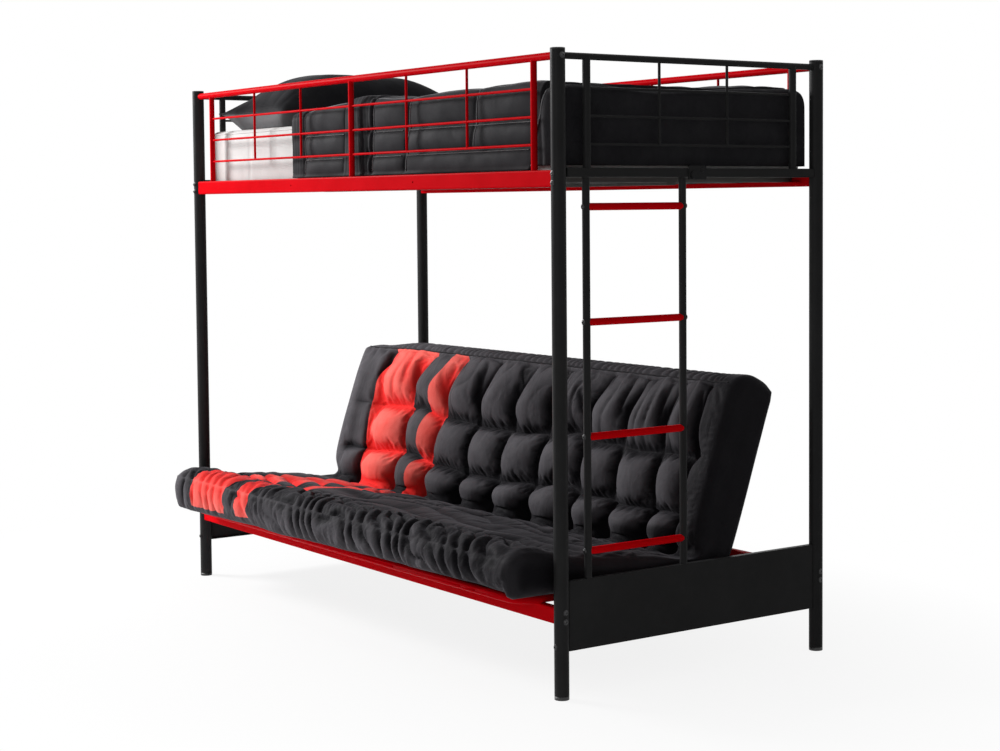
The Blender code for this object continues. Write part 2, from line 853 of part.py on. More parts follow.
# Slatted base of the upper bunk, resting on the ledges
slat_top = ledge_top + FIT_GAP + SLAT_THICKNESS
slat_half = POST_Y - RAIL_DEPTH / 2 - SLAT_END_GAP
slat_reach = POST_X * SLAT_SPAN_SHARE
slat_places = [
    -slat_reach + 2 * slat_reach * index / (SLAT_COUNT - 1) for index in range(SLAT_COUNT)
]
slats = blocks(
    "upper_slat_base",
    [
        ((x - SLAT_WIDTH / 2, -slat_half, slat_top - SLAT_THICKNESS),
         (x + SLAT_WIDTH / 2, slat_half, slat_top))
        for x in slat_places
    ],
    SLAT_WOOD,
)
tie_top = slat_top - SLAT_THICKNESS + SLAT_TIE_LAP
join(
    slats,
    blocks(
        "slat_tie",
        [
            ((-slat_reach - SLAT_WIDTH / 4, -SLAT_TIE_WIDTH / 2, tie_top - SLAT_TIE_DEPTH),
             (slat_reach + SLAT_WIDTH / 4, SLAT_TIE_WIDTH / 2, tie_top))
        ],
        SLAT_WOOD,
        hidden=True,
    ),
)

# Upper mattress with rounded edges
mattress_bottom = slat_top + FIT_GAP
bm = bmesh.new()
block(
    bm,
    (-MATTRESS_X, -MATTRESS_Y, mattress_bottom),
    (MATTRESS_X, MATTRESS_Y, MATTRESS_TOP),
)
mattress = place("upper_mattress", finished(bm, "upper_mattress"), TICKING)
soft = mattress.modifiers.new("edges", "BEVEL")
soft.width = MATTRESS_ROUNDING
soft.segments = 3

# Quilt: a saddle over the mattress, sewn in three rows of puffs down each side
quilt_bottom = RAIL_TOP + QUILT_HEM
quilt_inner_y = MATTRESS_Y + FIT_GAP
quilt_inner_z = MATTRESS_TOP + FIT_GAP


def quilt_ring(x, plump, slant):
    """Outline in YZ at one place along the quilt. plump is 1 between the sewn lines."""
    rise = QUILT_RISE * (x - QUILT_LEFT) / (QUILT_RIGHT - QUILT_LEFT)
    top = quilt_inner_z + QUILT_TOP + rise - QUILT_RISE / 2
    side = []
    steps = 4 * QUILT_ROWS
    for step in range(steps + 1):
        share = step / steps
        puff = QUILT_PUFF * (abs(math.sin(math.pi * share * QUILT_ROWS)) - 1) * plump
        shrink = QUILT_PUFF * (1 - plump)
        lean = quilt_inner_y + QUILT_SIDE + puff - shrink
        side.append((lean, quilt_bottom + (top - QUILT_TOP / 2 - quilt_bottom) * share))
    crown = [
        (quilt_inner_y + QUILT_SIDE / 2, top - QUILT_TOP / 6),
        (quilt_inner_y - QUILT_SIDE, top - QUILT_PUFF / 2),
        (quilt_inner_y / 2, top - QUILT_PUFF * (1 - plump)),
    ]
    half = side + crown
    outer = [(-y, z) for y, z in half] + [(y, z) for y, z in reversed(half)]
    inner = [
        (quilt_inner_y, quilt_bottom),
        (quilt_inner_y, quilt_inner_z),
        (-quilt_inner_y, quilt_inner_z),
        (-quilt_inner_y, quilt_bottom),
    ]
    return [(x + slant * (z - quilt_bottom), y, z) for y, z in outer + inner]


QUILT_COLUMN_SHARES = (0.0, 0.0742, 0.267, 0.2757, 0.2868, 0.386, 0.5193, 0.65, 0.7727, 0.79, 0.89, 1.0)
QUILT_PLUMP_SHARES = (0.3, 1.0, 0.3, 0.5, 0.3, 1.0, 0.2, 1.0, 0.2, 0.9, 1.0, 0.4)
THROW_SLANT_SHARE = 0.30
quilt_rings = []
for column, plump in zip(QUILT_COLUMN_SHARES, QUILT_PLUMP_SHARES):
    x = QUILT_LEFT + (QUILT_RIGHT - QUILT_LEFT) * column
    quilt_rings.append(quilt_ring(x, plump, THROW_SLANT_SHARE if column == 1.0 else 0))
loft("upper_quilt", quilt_rings, CHARCOAL)

# Throw: a cap of cloth over the right-hand end of the mattress
throw_top = MATTRESS_TOP + THROW_TOP
throw_hem = RAIL_TOP + THROW_HEM


def throw_shape(a, b, c):
    """Unit cube to draped cap, its sides gathered into upright folds."""
    half_y = quilt_inner_y + QUILT_SIDE
    z = (throw_hem + throw_top) / 2 + c * (throw_top - throw_hem) / 2
    z -= THROW_FOLD * 4 * (b * b * b * b) * max(0, c)
    left = QUILT_RIGHT + FIT_GAP * 2 + THROW_SLANT_SHARE * (z - quilt_bottom)
    x = (left + THROW_RIGHT) / 2 + a * (THROW_RIGHT - left) / 2
    hang = (1 - c) / 2
    y = b * half_y
    fold = THROW_FOLD * (math.cos(math.pi * THROW_FOLDS * b) - 1) / 2 * hang
    if a > 0:
        x += fold * a
    if abs(b) == 1:
        y += b * THROW_FOLD * (math.cos(math.pi * a) - 1) / 2 * hang
    round_end = max(0, c) ** 3
    y -= b * abs(b) * THROW_FOLD * 3 * round_end
    x -= max(0, a) ** 2 * THROW_FOLD * 3 * round_end
    return Vector((x, y, z))


throw = soft_block("bed_throw", THROW_CLOTH, 5, throw_shape)
cut(
    throw,
    blocks(
        "throw_hollow",
        [
            ((QUILT_LEFT, -quilt_inner_y, RAIL_BOTTOM),
             (MATTRESS_X + FIT_GAP, quilt_inner_y, quilt_inner_z))
        ],
        THROW_CLOTH,
        hidden=True,
    ),
)


# Pillow lying flat, with pulled-out corners
def pillow_shape(a, b, c):
    crown = (1 - a * a) ** 0.5 * (1 - b * b) ** 0.5
    pinch = (1 - a * a) * b * b + (1 - b * b) * a * a
    width = PILLOW_RIGHT - PILLOW_LEFT
    depth = PILLOW_BACK - PILLOW_FRONT
    x = (PILLOW_LEFT + PILLOW_RIGHT) / 2 + a * width / 2 * (1 - PILLOW_EDGE / PILLOW_HEIGHT * pinch)
    y = (PILLOW_FRONT + PILLOW_BACK) / 2 + b * depth / 2 * (1 - PILLOW_EDGE / PILLOW_HEIGHT * pinch)
    low = MATTRESS_TOP + FIT_GAP
    seam = low + PILLOW_HEIGHT * 0.42
    z = seam + c * PILLOW_EDGE / 4
    if c > 0:
        z += c * (PILLOW_HEIGHT * 0.58 - PILLOW_EDGE / 4) * crown
    else:
        z += c * (PILLOW_HEIGHT * 0.42 - PILLOW_EDGE / 4) * min(1, crown * 1.6)
    return Vector((x, y, z))


soft_block("pillow", PILLOW_CLOTH, 7, pillow_shape)


def deck_frame(name, half_length, near, far, corner_near, corner_far, surface, parent, axes):
    """Closed rounded rectangle of round tube, in the plane of axes."""
    half = half_length - DECK_TUBE_RADIUS
    outline = []
    for sx, at, radius, start in (
        (1, far, corner_far, 0),
        (-1, far, corner_far, math.pi / 2),
        (-1, near, corner_near, math.pi),
        (1, near, corner_near, -math.pi / 2),
    ):
        inward = -1 if at == far else 1
        outline += corner((sx * (half - radius), at + inward * radius), radius, start)
    points = [axes(a, b) for a, b in outline]
    return bent_tube(name, points, DECK_TUBE_RADIUS, True, surface, parent)


# Seat frame, on the slide: tube loop with a lug at each rear corner
seat_front = -(SEAT_FRONT_Y + HINGE_Y)
seat_rear = SEAT_REAR_Y - HINGE_Y
seat_frame = deck_frame(
    "seat_frame", SEAT_HALF_LENGTH, seat_front, seat_rear, SEAT_CORNER, SEAT_CORNER / 2,
    RED, SEAT, lambda a, b: (a, b, 0),
)
lug_x = SEAT_HALF_LENGTH - DECK_TUBE_RADIUS
lugs = blocks(
    "seat_lugs",
    [
        ((sx * lug_x - LUG_THICKNESS / 2, seat_rear - LUG_LAP, -DECK_TUBE_RADIUS * 0.8),
         (sx * lug_x + LUG_THICKNESS / 2, DECK_TUBE_RADIUS, DECK_TUBE_RADIUS * 0.8))
        for _, sx in SIDES
    ],
    RED,
    SEAT,
    hidden=True,
)
join(seat_frame, lugs)
holes = [
    ((share * SEAT_HALF_LENGTH, seat_front - DECK_TUBE_RADIUS - CUT_OVERRUN, 0),
     (share * SEAT_HALF_LENGTH, seat_front - DECK_TUBE_RADIUS / 2, 0))
    for share in SEAT_HOLE_SHARES
]
cut(seat_frame, rods("seat_holes", holes, SEAT_HOLE_RADIUS, RED, SEAT, 8, hidden=True))
pin_run = SEAT_HALF_LENGTH + CUT_OVERRUN
cut(
    seat_frame,
    rods(
        "lug_holes",
        [((sx * BACK_HALF_LENGTH, 0, 0), (sx * pin_run, 0, 0)) for _, sx in SIDES],
        PIN_RADIUS + FIT_GAP,
        RED,
        SEAT,
        12,
        hidden=True,
    ),
)


def grille(name, half_length, near, far, parent, axes):
    """Flat bars across a deck frame, crossed by two ties, all inside the tube loop."""
    reach = half_length - 2 * DECK_TUBE_RADIUS - FIT_GAP
    low = near + DECK_TUBE_RADIUS + FIT_GAP
    high = far - DECK_TUBE_RADIUS - FIT_GAP
    pitch = 2 * reach / (GRILLE_BARS + 1)
    bars = [
        sorted_box(
            axes(-reach + pitch * (index + 1) - GRILLE_WIDTH / 2, low, -GRILLE_THICKNESS / 2),
            axes(-reach + pitch * (index + 1) + GRILLE_WIDTH / 2, high, GRILLE_THICKNESS / 2),
        )
        for index in range(GRILLE_BARS)
    ]
    item = blocks(name, bars, BLACK, parent)
    ties = []
    for share in GRILLE_TIE_SHARES:
        middle = low + (high - low) * share
        ties.append(
            sorted_box(
                axes(-reach, middle - GRILLE_TIE_WIDTH / 2, -GRILLE_TIE_THICKNESS / 2),
                axes(reach, middle + GRILLE_TIE_WIDTH / 2, GRILLE_TIE_THICKNESS / 2),
            )
        )
    join(item, blocks(name + "_ties", ties, BLACK, parent, hidden=True))


def sorted_box(first, second):
    return (
        [min(a, b) for a, b in zip(first, second)],
        [max(a, b) for a, b in zip(first, second)],
    )


grille("seat_grille", SEAT_HALF_LENGTH, seat_front, seat_rear, SEAT, lambda a, b, c: (a, b, c))

# Back frame: straight lower tube on the hinge axis, loop of tube above it
back_top = BACK_HEIGHT - DECK_TUBE_RADIUS
back_half = BACK_HALF_LENGTH - DECK_TUBE_RADIUS
lower_reach = BACK_HALF_LENGTH + 2 * WELD_SINK
arch = [(back_half, 0)] + corner((back_half - BACK_CORNER, back_top - BACK_CORNER), BACK_CORNER, 0)
arch += corner((BACK_CORNER - back_half, back_top - BACK_CORNER), BACK_CORNER, math.pi / 2)
arch += [(-back_half, 0)]
back_frame = bent_tube(
    "back_frame", [(a, 0, b) for a, b in arch], DECK_TUBE_RADIUS, False, RED, BACK
)
plates = blocks(
    "back_plates",
    [
        sorted_box(
            (sx * (BACK_HALF_LENGTH - WELD_SINK), -DECK_TUBE_RADIUS / 2, DECK_TUBE_RADIUS + PLATE_DROP),
            (sx * (BACK_HALF_LENGTH + PLATE_THICKNESS), PLATE_REACH, DECK_TUBE_RADIUS + PLATE_HEIGHT),
        )
        for _, sx in SIDES
    ],
    DARK_RED,
    BACK,
    hidden=True,
)
join(
    back_frame,
    rods(
        "back_lower_tube",
        [((-lower_reach, 0, 0), (lower_reach, 0, 0))],
        DECK_TUBE_RADIUS,
        RED,
        BACK,
        16,
        hidden=True,
    ),
)
join(back_frame, plates)
cut(
    back_frame,
    rods(
        "pin_bores",
        [
            ((sx * (BACK_HALF_LENGTH - PIN_GRIP - FIT_GAP), 0, 0), (sx * pin_run, 0, 0))
            for _, sx in SIDES
        ],
        PIN_RADIUS + FIT_GAP,
        RED,
        BACK,
        12,
        hidden=True,
    ),
)
grille("back_grille", BACK_HALF_LENGTH, 0, back_top, BACK, lambda a, b, c: (a, c, b))

for end, sx in SIDES:
    pin_head = lug_x + LUG_THICKNESS / 2 + FIT_GAP
    pin_end = BACK_HALF_LENGTH - PIN_GRIP
    turned(
        "hinge_pin_" + end,
        (
            (0, PIN_HEAD_HEIGHT),
            (PIN_HEAD_RADIUS, PIN_HEAD_HEIGHT),
            (PIN_HEAD_RADIUS, 0),
            (PIN_RADIUS, 0),
            (PIN_RADIUS, pin_end - pin_head),
            (0, pin_end - pin_head),
        ),
        ZINC,
        (sx * pin_head, 0, 0),
        (sx, 0, 0),
        SEAT,
        12,
    )
    web_x = POST_X + PANEL_INSET - PANEL_SHEET - TRACK_STANDOFF
    glide_end = web_x - TRACK_SHEET - FIT_GAP * 2
    glide_start = SEAT_HALF_LENGTH + FIT_GAP
    turned(
        "seat_glide_" + end,
        (
            (0, 0),
            (GLIDE_RADIUS - FIT_GAP, 0),
            (GLIDE_RADIUS - FIT_GAP, -GLIDE_WIDTH),
            (GLIDE_AXLE_RADIUS, -GLIDE_WIDTH),
            (GLIDE_AXLE_RADIUS, glide_start - glide_end),
            (0, glide_start - glide_end),
        ),
        PLASTIC,
        (sx * glide_end, GLIDE_Y - HINGE_Y, 0),
        (sx, 0, 0),
        SEAT,
        16,
    )


# Futon mattress: sewn in columns, drawn in at each sewn line and at both ends
def futon_rings(outline, middle):
    rings = []
    stations = []
    pitch = 2 * FUTON_X / FUTON_COLUMNS
    for index in range(2 * FUTON_COLUMNS + 1):
        stations.append((-FUTON_X + pitch * index / 2, index % 2))
    stations.insert(1, (-FUTON_X + FUTON_END_ROUNDING, 1))
    stations.insert(-1, (FUTON_X - FUTON_END_ROUNDING, 1))
    for position, (x, between) in enumerate(stations):
        at_end = position in (0, len(stations) - 1)
        ring = []
        for depth, height, sewn in outline:
            dy = depth
            dz = height
            if sewn and not between:
                dy += math.copysign(FUTON_TUFT, middle[0] - depth) * sewn
                dz += math.copysign(FUTON_TUFT, middle[1] - height) * sewn
            if at_end:
                draw = FUTON_END_ROUNDING * min(1, sewn + 0.2)
                dy += math.copysign(min(draw, abs(middle[0] - depth) / 2), middle[0] - depth)
                dz += math.copysign(min(draw, abs(middle[1] - height) / 2), middle[1] - height)
                if middle[2] and height <= DECK_TUBE_RADIUS + FIT_GAP * 2:
                    dz = height
                dy = min(dy, middle[3])
            ring.append((x, dy, dz))
        rings.append(ring)
    return rings


deck = DECK_TUBE_RADIUS + FIT_GAP
SEAT_OUTLINE_SHARES = (
    # depth towards the front, height above the deck, how far the sewn lines draw it in
    (0.105, 0.0, 0),
    (0.50, 0.0, 0),
    (0.895, 0.0, 0),
    (0.985, 0.06, 0.3),
    (1.010, 0.50, 0.8),
    (0.960, 0.98, 0.9),
    (0.860, 1.00, 0.8),
    (0.755, 0.72, 0.6),
    (0.600, 0.66, 1.0),
    (0.420, 0.54, 0.9),
    (0.260, 0.43, 0.4),
    (0.190, 0.30, 0),
    (0.105, 0.09, 0),
)
seat_outline = [
    (-depth * SEAT_DEPTH, deck + height * (SEAT_LOFT - deck), sewn)
    for depth, height, sewn in SEAT_OUTLINE_SHARES
]
loft(
    "seat_mattress",
    futon_rings(seat_outline, (-SEAT_DEPTH / 2, SEAT_LOFT / 2, True, 0)),
    TWILL,
    SEAT,
    levels=1,
)

BACK_OUTLINE_SHARES = (
    # depth forward from the back frame, height above the hinge, draw of the sewn lines
    (0.0, 0.10, 0),
    (0.0, 0.50, 0),
    (0.0, 0.90, 0),
    (0.16, 1.00, 0.3),
    (0.62, 1.01, 0.6),
    (0.98, 0.90, 0.8),
    (1.02, 0.72, 0.6),
    (0.86, 0.54, 1.4),
    (1.02, 0.40, 0.6),
    (0.86, 0.27, 1.4),
    (1.00, 0.16, 0.6),
    (0.96, 0.05, 0.3),
    (0.80, 0.004, 0),
    (0.20, 0.004, 0),
)
back_outline = [
    (-deck - depth * (BACK_DEPTH - deck), height * BACK_RISE, sewn)
    for depth, height, sewn in BACK_OUTLINE_SHARES
]
loft(
    "back_mattress",
    futon_rings(back_outline, (-BACK_DEPTH / 2, BACK_RISE / 2, False, -deck)),
    TWILL,
    BACK,
    levels=1,
)
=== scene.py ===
"""A futon bunk bed: a high bed with guards, bedding and a ladder over a futon that folds down flat.

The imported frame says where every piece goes. This script gives the steelwork its round tubes, bolts and
enamel, and makes the mattresses, quilt, throw and pillow as real upholstery.
"""

import math

import bmesh
import bpy
import numpy as np
from mathutils import Matrix, Vector


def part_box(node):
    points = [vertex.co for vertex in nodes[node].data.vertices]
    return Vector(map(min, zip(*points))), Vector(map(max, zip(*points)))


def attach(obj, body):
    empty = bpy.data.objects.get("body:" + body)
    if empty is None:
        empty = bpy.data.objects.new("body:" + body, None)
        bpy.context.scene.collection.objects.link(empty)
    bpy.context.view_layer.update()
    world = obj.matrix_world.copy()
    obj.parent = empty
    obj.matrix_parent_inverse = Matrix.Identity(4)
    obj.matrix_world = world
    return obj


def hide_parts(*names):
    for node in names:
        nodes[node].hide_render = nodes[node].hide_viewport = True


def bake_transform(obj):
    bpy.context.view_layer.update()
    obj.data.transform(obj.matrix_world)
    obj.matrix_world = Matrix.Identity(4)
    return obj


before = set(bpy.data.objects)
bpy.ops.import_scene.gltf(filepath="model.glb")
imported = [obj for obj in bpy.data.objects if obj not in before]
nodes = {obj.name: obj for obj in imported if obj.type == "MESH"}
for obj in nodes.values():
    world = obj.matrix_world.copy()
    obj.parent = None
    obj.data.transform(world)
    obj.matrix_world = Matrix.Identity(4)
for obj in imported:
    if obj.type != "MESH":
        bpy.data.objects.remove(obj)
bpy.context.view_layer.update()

# The bed's own axes lie this far behind the middle of the whole object.
AXES_Y = 0.06385
POST_X, POST_Y, POST_RADIUS = 1.060, 0.465, 0.020
SIDES = (("left", -1), ("right", 1))
FACES = (("front", -1), ("rear", 1))
HINGE = np.array([0.170, 0.258])
LEAN = math.radians(20)
UP_BACK = np.array([math.sin(LEAN), math.cos(LEAN)])
OFF_BACK = np.array([-math.cos(LEAN), math.sin(LEAN)])


def bed(x, y, z):
    """A point given from the bed's own axes, in the frame's metres."""
    return (x, y + AXES_Y, z)


# Finishes ---------------------------------------------------------------------------------------


def new_finish(name):
    made = bpy.data.materials.new(name)
    made.use_nodes = True
    tree = made.node_tree
    tree.nodes.clear()
    out = tree.nodes.new("ShaderNodeOutputMaterial")
    shader = tree.nodes.new("ShaderNodeBsdfPrincipled")
    tree.links.new(shader.outputs["BSDF"], out.inputs["Surface"])
    return made, tree, shader


def feed(tree, socket, value):
    if isinstance(value, bpy.types.NodeSocket):
        tree.links.new(value, socket)
    elif hasattr(socket.default_value, "__len__") and not hasattr(value, "__len__"):
        socket.default_value = (value,) * len(socket.default_value)
    else:
        socket.default_value = value


def give(tree, made, values):
    for key, value in values.items():
        feed(tree, made.inputs[key], value)


def add(tree, kind, inputs=None, **settings):
    made = tree.nodes.new("ShaderNode" + kind)
    for key, value in settings.items():
        setattr(made, key, value)
    give(tree, made, inputs or {})
    return made


def written(tree, label):
    """A number that is written on the piece's own points."""
    return add(tree, "Attribute", attribute_name=label).outputs["Fac"]


def placed(tree, scale=(1, 1, 1), turn=(0, 0, 0)):
    """The piece's own coordinates in metres, stretched or turned for a grain."""
    source = add(tree, "TexCoord").outputs["Object"]
    return add(tree, "Mapping", {"Vector": source, "Scale": scale, "Rotation": turn}).outputs["Vector"]


def mottle(tree, where, scale, detail=3.0, rough=0.5, twist=0.0):
    return add(tree, "TexNoise", {"Vector": where, "Scale": scale, "Detail": detail,
                                  "Roughness": rough, "Distortion": twist}).outputs["Fac"]


def spread(tree, value, low, high, start=0.3, end=0.7):
    """A number between low and high, taken from a pattern that runs from start to end."""
    return add(tree, "MapRange", {"Value": value, "From Min": start, "From Max": end,
                                  "To Min": low, "To Max": high}).outputs["Result"]


def tone(tree, factor, first, second):
    first, second = ((*end, 1) if isinstance(end, tuple) else end for end in (first, second))
    return add(tree, "Mix", {0: factor, 6: first, 7: second}, data_type="RGBA").outputs[2]


def relief(tree, shader, *layers):
    """Bump layers, each (height, strength, depth in metres), one over the other."""
    normal = None
    for height, strength, depth in layers:
        bump = add(tree, "Bump", {"Height": height, "Strength": strength, "Distance": depth})
        if normal is not None:
            tree.links.new(normal, bump.inputs["Normal"])
        normal = bump.outputs["Normal"]
    tree.links.new(normal, shader.inputs["Normal"])


def maths(tree, operation, *values):
    return add(tree, "Math", dict(enumerate(values)), operation=operation).outputs[0]


def enamel(name, deep, bright, roughness, gloss):
    """Baked enamel on steel: a little orange peel, faint handling marks and cloudy colour."""
    made, tree, shader = new_finish(name)
    where = placed(tree)
    cloud = mottle(tree, where, 7.0, 4.0, 0.6)
    peel = mottle(tree, where, 520.0, 2.0, 0.5)
    marks = mottle(tree, placed(tree, (30, 30, 4)), 3.0, 5.0, 0.7, 0.6)
    rough = maths(tree, "ADD", spread(tree, marks, 0, 0.10, 0.52, 0.72),
                  spread(tree, cloud, roughness - 0.03, roughness + 0.04))
    give(tree, shader, {"Base Color": tone(tree, spread(tree, cloud, 0, 1), deep, bright),
                        "Roughness": rough, "Specular IOR Level": gloss})
    relief(tree, shader, (peel, 0.10, 0.0002), (marks, 0.05, 0.0004))
    return made


def bare_steel(name, deep, bright, roughness):
    made, tree, shader = new_finish(name)
    brushed = mottle(tree, placed(tree, (400, 400, 30)), 2.0, 3.0, 0.6)
    spots = mottle(tree, placed(tree), 260.0, 4.0, 0.7)
    give(tree, shader, {"Base Color": tone(tree, spread(tree, spots, 0, 1), deep, bright),
                        "Roughness": spread(tree, brushed, roughness - 0.06, roughness + 0.12), "Metallic": 1.0})
    relief(tree, shader, (brushed, 0.15, 0.0001))
    return made


def moulded_plastic(name, deep, bright):
    made, tree, shader = new_finish(name)
    where = placed(tree)
    grain = add(tree, "TexVoronoi", {"Vector": where, "Scale": 900.0}, feature="F1").outputs["Distance"]
    cloud = mottle(tree, where, 40.0)
    give(tree, shader, {"Base Color": tone(tree, spread(tree, cloud, 0, 1), deep, bright),
                        "Roughness": spread(tree, cloud, 0.42, 0.56)})
    relief(tree, shader, (grain, 0.25, 0.00015))
    return made


def stained_wood(name, deep, bright):
    """Slats run across the bed, so the grain runs along Y."""
    made, tree, shader = new_finish(name)
    where = placed(tree, (26, 1.6, 26))
    grain = mottle(tree, where, 3.2, 6.0, 0.65, 0.9)
    pores = mottle(tree, placed(tree, (420, 12, 420)), 2.0, 2.0)
    give(tree, shader, {"Base Color": tone(tree, spread(tree, grain, 0, 1, 0.35, 0.65), deep, bright),
                        "Roughness": spread(tree, pores, 0.52, 0.70)})
    relief(tree, shader, (grain, 0.25, 0.0006), (pores, 0.30, 0.0002))
    return made


def weave(tree, where, threads):
    """Twill: two sets of threads crossing at a slant, with a slub here and there."""
    warp = add(tree, "TexWave", {"Vector": where, "Scale": threads, "Distortion": 0.6,
                                 "Detail": 1.0, "Detail Scale": 2.0}, bands_direction="DIAGONAL").outputs["Fac"]
    turned = add(tree, "Mapping", {"Vector": where, "Rotation": (0.5, 0.9, 1.6)}).outputs["Vector"]
    weft = add(tree, "TexWave", {"Vector": turned, "Scale": threads * 0.8, "Distortion": 0.6},
               bands_direction="DIAGONAL").outputs["Fac"]
    return maths(tree, "MULTIPLY", warp, weft)


def cloth(name, deep, bright, roughness, sheen, crease, threads=110.0, tint=(1, 1, 1), colour=None):
    """Woven cloth with creases; crease is (pattern stretch, strength, depth)."""
    made, tree, shader = new_finish(name)
    where = placed(tree)
    patches = mottle(tree, where, 11.0, 5.0, 0.6)
    thread = weave(tree, where, threads)
    folds = mottle(tree, placed(tree, crease[0]), 1.0, 5.0, 0.55, 0.8)
    fine = mottle(tree, placed(tree, tuple(4 * c for c in crease[0])), 1.0, 3.0, 0.6, 0.5)
    base = tone(tree, spread(tree, patches, 0, 1), deep, bright)
    if colour is not None:
        base = colour(tree, base, patches)
    shade = maths(tree, "ADD", maths(tree, "MULTIPLY", thread, 0.22), 0.86)
    lit = add(tree, "Mix", {0: 1.0, 6: base, 7: shade}, data_type="RGBA", blend_type="MULTIPLY").outputs[2]
    give(tree, shader, {"Base Color": lit, "Roughness": spread(tree, folds, roughness - 0.06, roughness + 0.06),
                        "Sheen Weight": sheen, "Sheen Roughness": 0.45, "Sheen Tint": (*tint, 1),
                        "Specular IOR Level": 0.3, "IOR": 1.12})
    relief(tree, shader, (folds, crease[1], crease[2]), (fine, crease[1] * 0.6, crease[2] * 0.3),
           (thread, 0.35, 0.0003))
    return made


WIDE_BAND, NARROW_BAND = (-0.845, -0.620), (-0.496, -0.425)


def quilt_groove_shade(tree, base, patches):
    """The quilt's cover is painted darker down in its grooves: painted shade."""
    return tone(tree, written(tree, "raised"), (0.004, 0.004, 0.005), base)


def pillow_underside(tree, base, patches):
    """The pillow's underside is grey."""
    return tone(tree, written(tree, "underside"), base, (0.14, 0.14, 0.145))


def futon_stripes(tree, base, patches):
    """Two red bands, wide and narrow, sewn across the black futon; they follow the cloth's own coordinate."""
    across = written(tree, "cloth_x")
    shown = written(tree, "show_side")

    def band(low, high):
        return maths(tree, "MULTIPLY", maths(tree, "GREATER_THAN", across, low),
                     maths(tree, "LESS_THAN", across, high))

    bands = maths(tree, "ADD", band(*WIDE_BAND), band(*NARROW_BAND))
    # Painted shade: the black cloth and the red bands are both coloured darker in the creases and paler on the puffs,
    # following the painted light level written on the cloth.
    raised = written(tree, "raised")
    red = tone(tree, spread(tree, patches, 0, 1), (0.97, 0.120, 0.098), (0.98, 0.200, 0.165))
    red = tone(tree, raised, (0.86, 0.030, 0.026), red)
    base = tone(tree, raised, (0.008, 0.0075, 0.009), base)
    return tone(tree, maths(tree, "MULTIPLY", bands, maths(tree, "GREATER_THAN", shown, 0.5)), base, red)


RED = enamel("red_enamel", (0.55, 0.0004, 0.004), (0.64, 0.0008, 0.006), 0.36, 0.006)
# A brighter copy of the red enamel for the ladder rungs: painted light, for the light they lack.
BRIGHTENED_STEP_RED = enamel("step_red_enamel", (0.88, 0.0010, 0.005), (0.97, 0.0014, 0.008), 0.36, 0.006)
# A brighter copy of the red enamel for the futon rail: painted light, for the rail that lies in the futon's shade.
BRIGHTENED_RAIL_RED = enamel("dark_red_enamel", (0.62, 0.0008, 0.004), (0.72, 0.001, 0.006), 0.36, 0.006)
BLACK = enamel("black_enamel", (0.0235, 0.0235, 0.0240), (0.0310, 0.0310, 0.0315), 0.36, 0.04)
BOLT = bare_steel("blackened_bolt", (0.03, 0.03, 0.03), (0.07, 0.07, 0.072), 0.38)
ZINC = bare_steel("zinc_plate", (0.42, 0.42, 0.44), (0.60, 0.60, 0.61), 0.32)
PLASTIC = moulded_plastic("black_moulding", (0.010, 0.010, 0.010), (0.020, 0.020, 0.021))
WOOD = stained_wood("black_stained_slat", (0.010, 0.009, 0.008), (0.040, 0.034, 0.030))
TICKING = cloth("white_ticking", (0.60, 0.60, 0.59), (0.68, 0.68, 0.67), 0.85, 0.1, ((14, 14, 9), 0.05, 0.002), 140.0)
QUILT = cloth("charcoal_quilt", (0.0135, 0.0130, 0.0152), (0.0245, 0.0238, 0.0270), 0.60, 0.08,
              ((20, 20, 16), 0.14, 0.003), 150.0, (0.85, 0.86, 0.9), quilt_groove_shade)
THROW = cloth("black_throw", (0.028, 0.027, 0.031), (0.046, 0.045, 0.049), 0.75, 0.05,
              ((12, 30, 8), 0.5, 0.006), 120.0)
PILLOWCASE = cloth("dark_pillowcase", (0.009, 0.009, 0.0105), (0.019, 0.019, 0.0215), 0.66, 0.05,
                   ((9, 6, 9), 0.3, 0.008), 150.0, (0.8, 0.8, 0.85), pillow_underside)
TWILL = cloth("futon_twill", (0.068, 0.064, 0.071), (0.101, 0.096, 0.105), 0.62, 0.08,
              ((30, 9, 14), 0.55, 0.006), 130.0, (0.85, 0.82, 0.9), futon_stripes)
CORD_CREASE = ((60, 60, 60), 0.3, 0.001)
PIPING = cloth("dark_piping", (0.014, 0.013, 0.015), (0.030, 0.028, 0.031), 0.6, 0.08, CORD_CREASE, 200.0)
# Pale grey cord: on the quilt it is partly real piping, partly a painted highlight along the pockets' lit edges; it
# also edges the throw.
PALE_PIPING_AND_HIGHLIGHT = cloth("grey_piping", (0.16, 0.16, 0.17), (0.26, 0.26, 0.27), 0.6, 0.1, CORD_CREASE, 200.0)


# Making pieces ----------------------------------------------------------------------------------


def stood(name, data):
    """An object of its own in the scene."""
    made = bpy.data.objects.new(name, data)
    bpy.context.scene.collection.objects.link(made)
    return made


def rounded(mesh, angle=None):
    """Shades a mesh round, but for edges that turn by more than the angle."""
    mesh.polygons.foreach_set("use_smooth", [True] * len(mesh.polygons))
    if angle is not None:
        mesh.set_sharp_from_angle(angle=math.radians(angle))


def note(made, label, values):
    """Writes one number for each point of a piece."""
    field = made.data.attributes.new(label, "FLOAT", "POINT")
    field.data.foreach_set("value", np.asarray(values, np.float32).ravel())


def lengths(points):
    """How far along a line of points each point lies."""
    return np.concatenate([[0], np.cumsum(np.linalg.norm(np.diff(points, axis=0), axis=1))])


def piece(name, points, faces, finish, smooth=True, angle=None):
    mesh = bpy.data.meshes.new(name)
    mesh.from_pydata([tuple(p) for p in points], [], [tuple(f) for f in faces])
    mesh.materials.append(finish)
    mesh.validate()
    if smooth:
        rounded(mesh, angle)
    return stood(name, mesh)


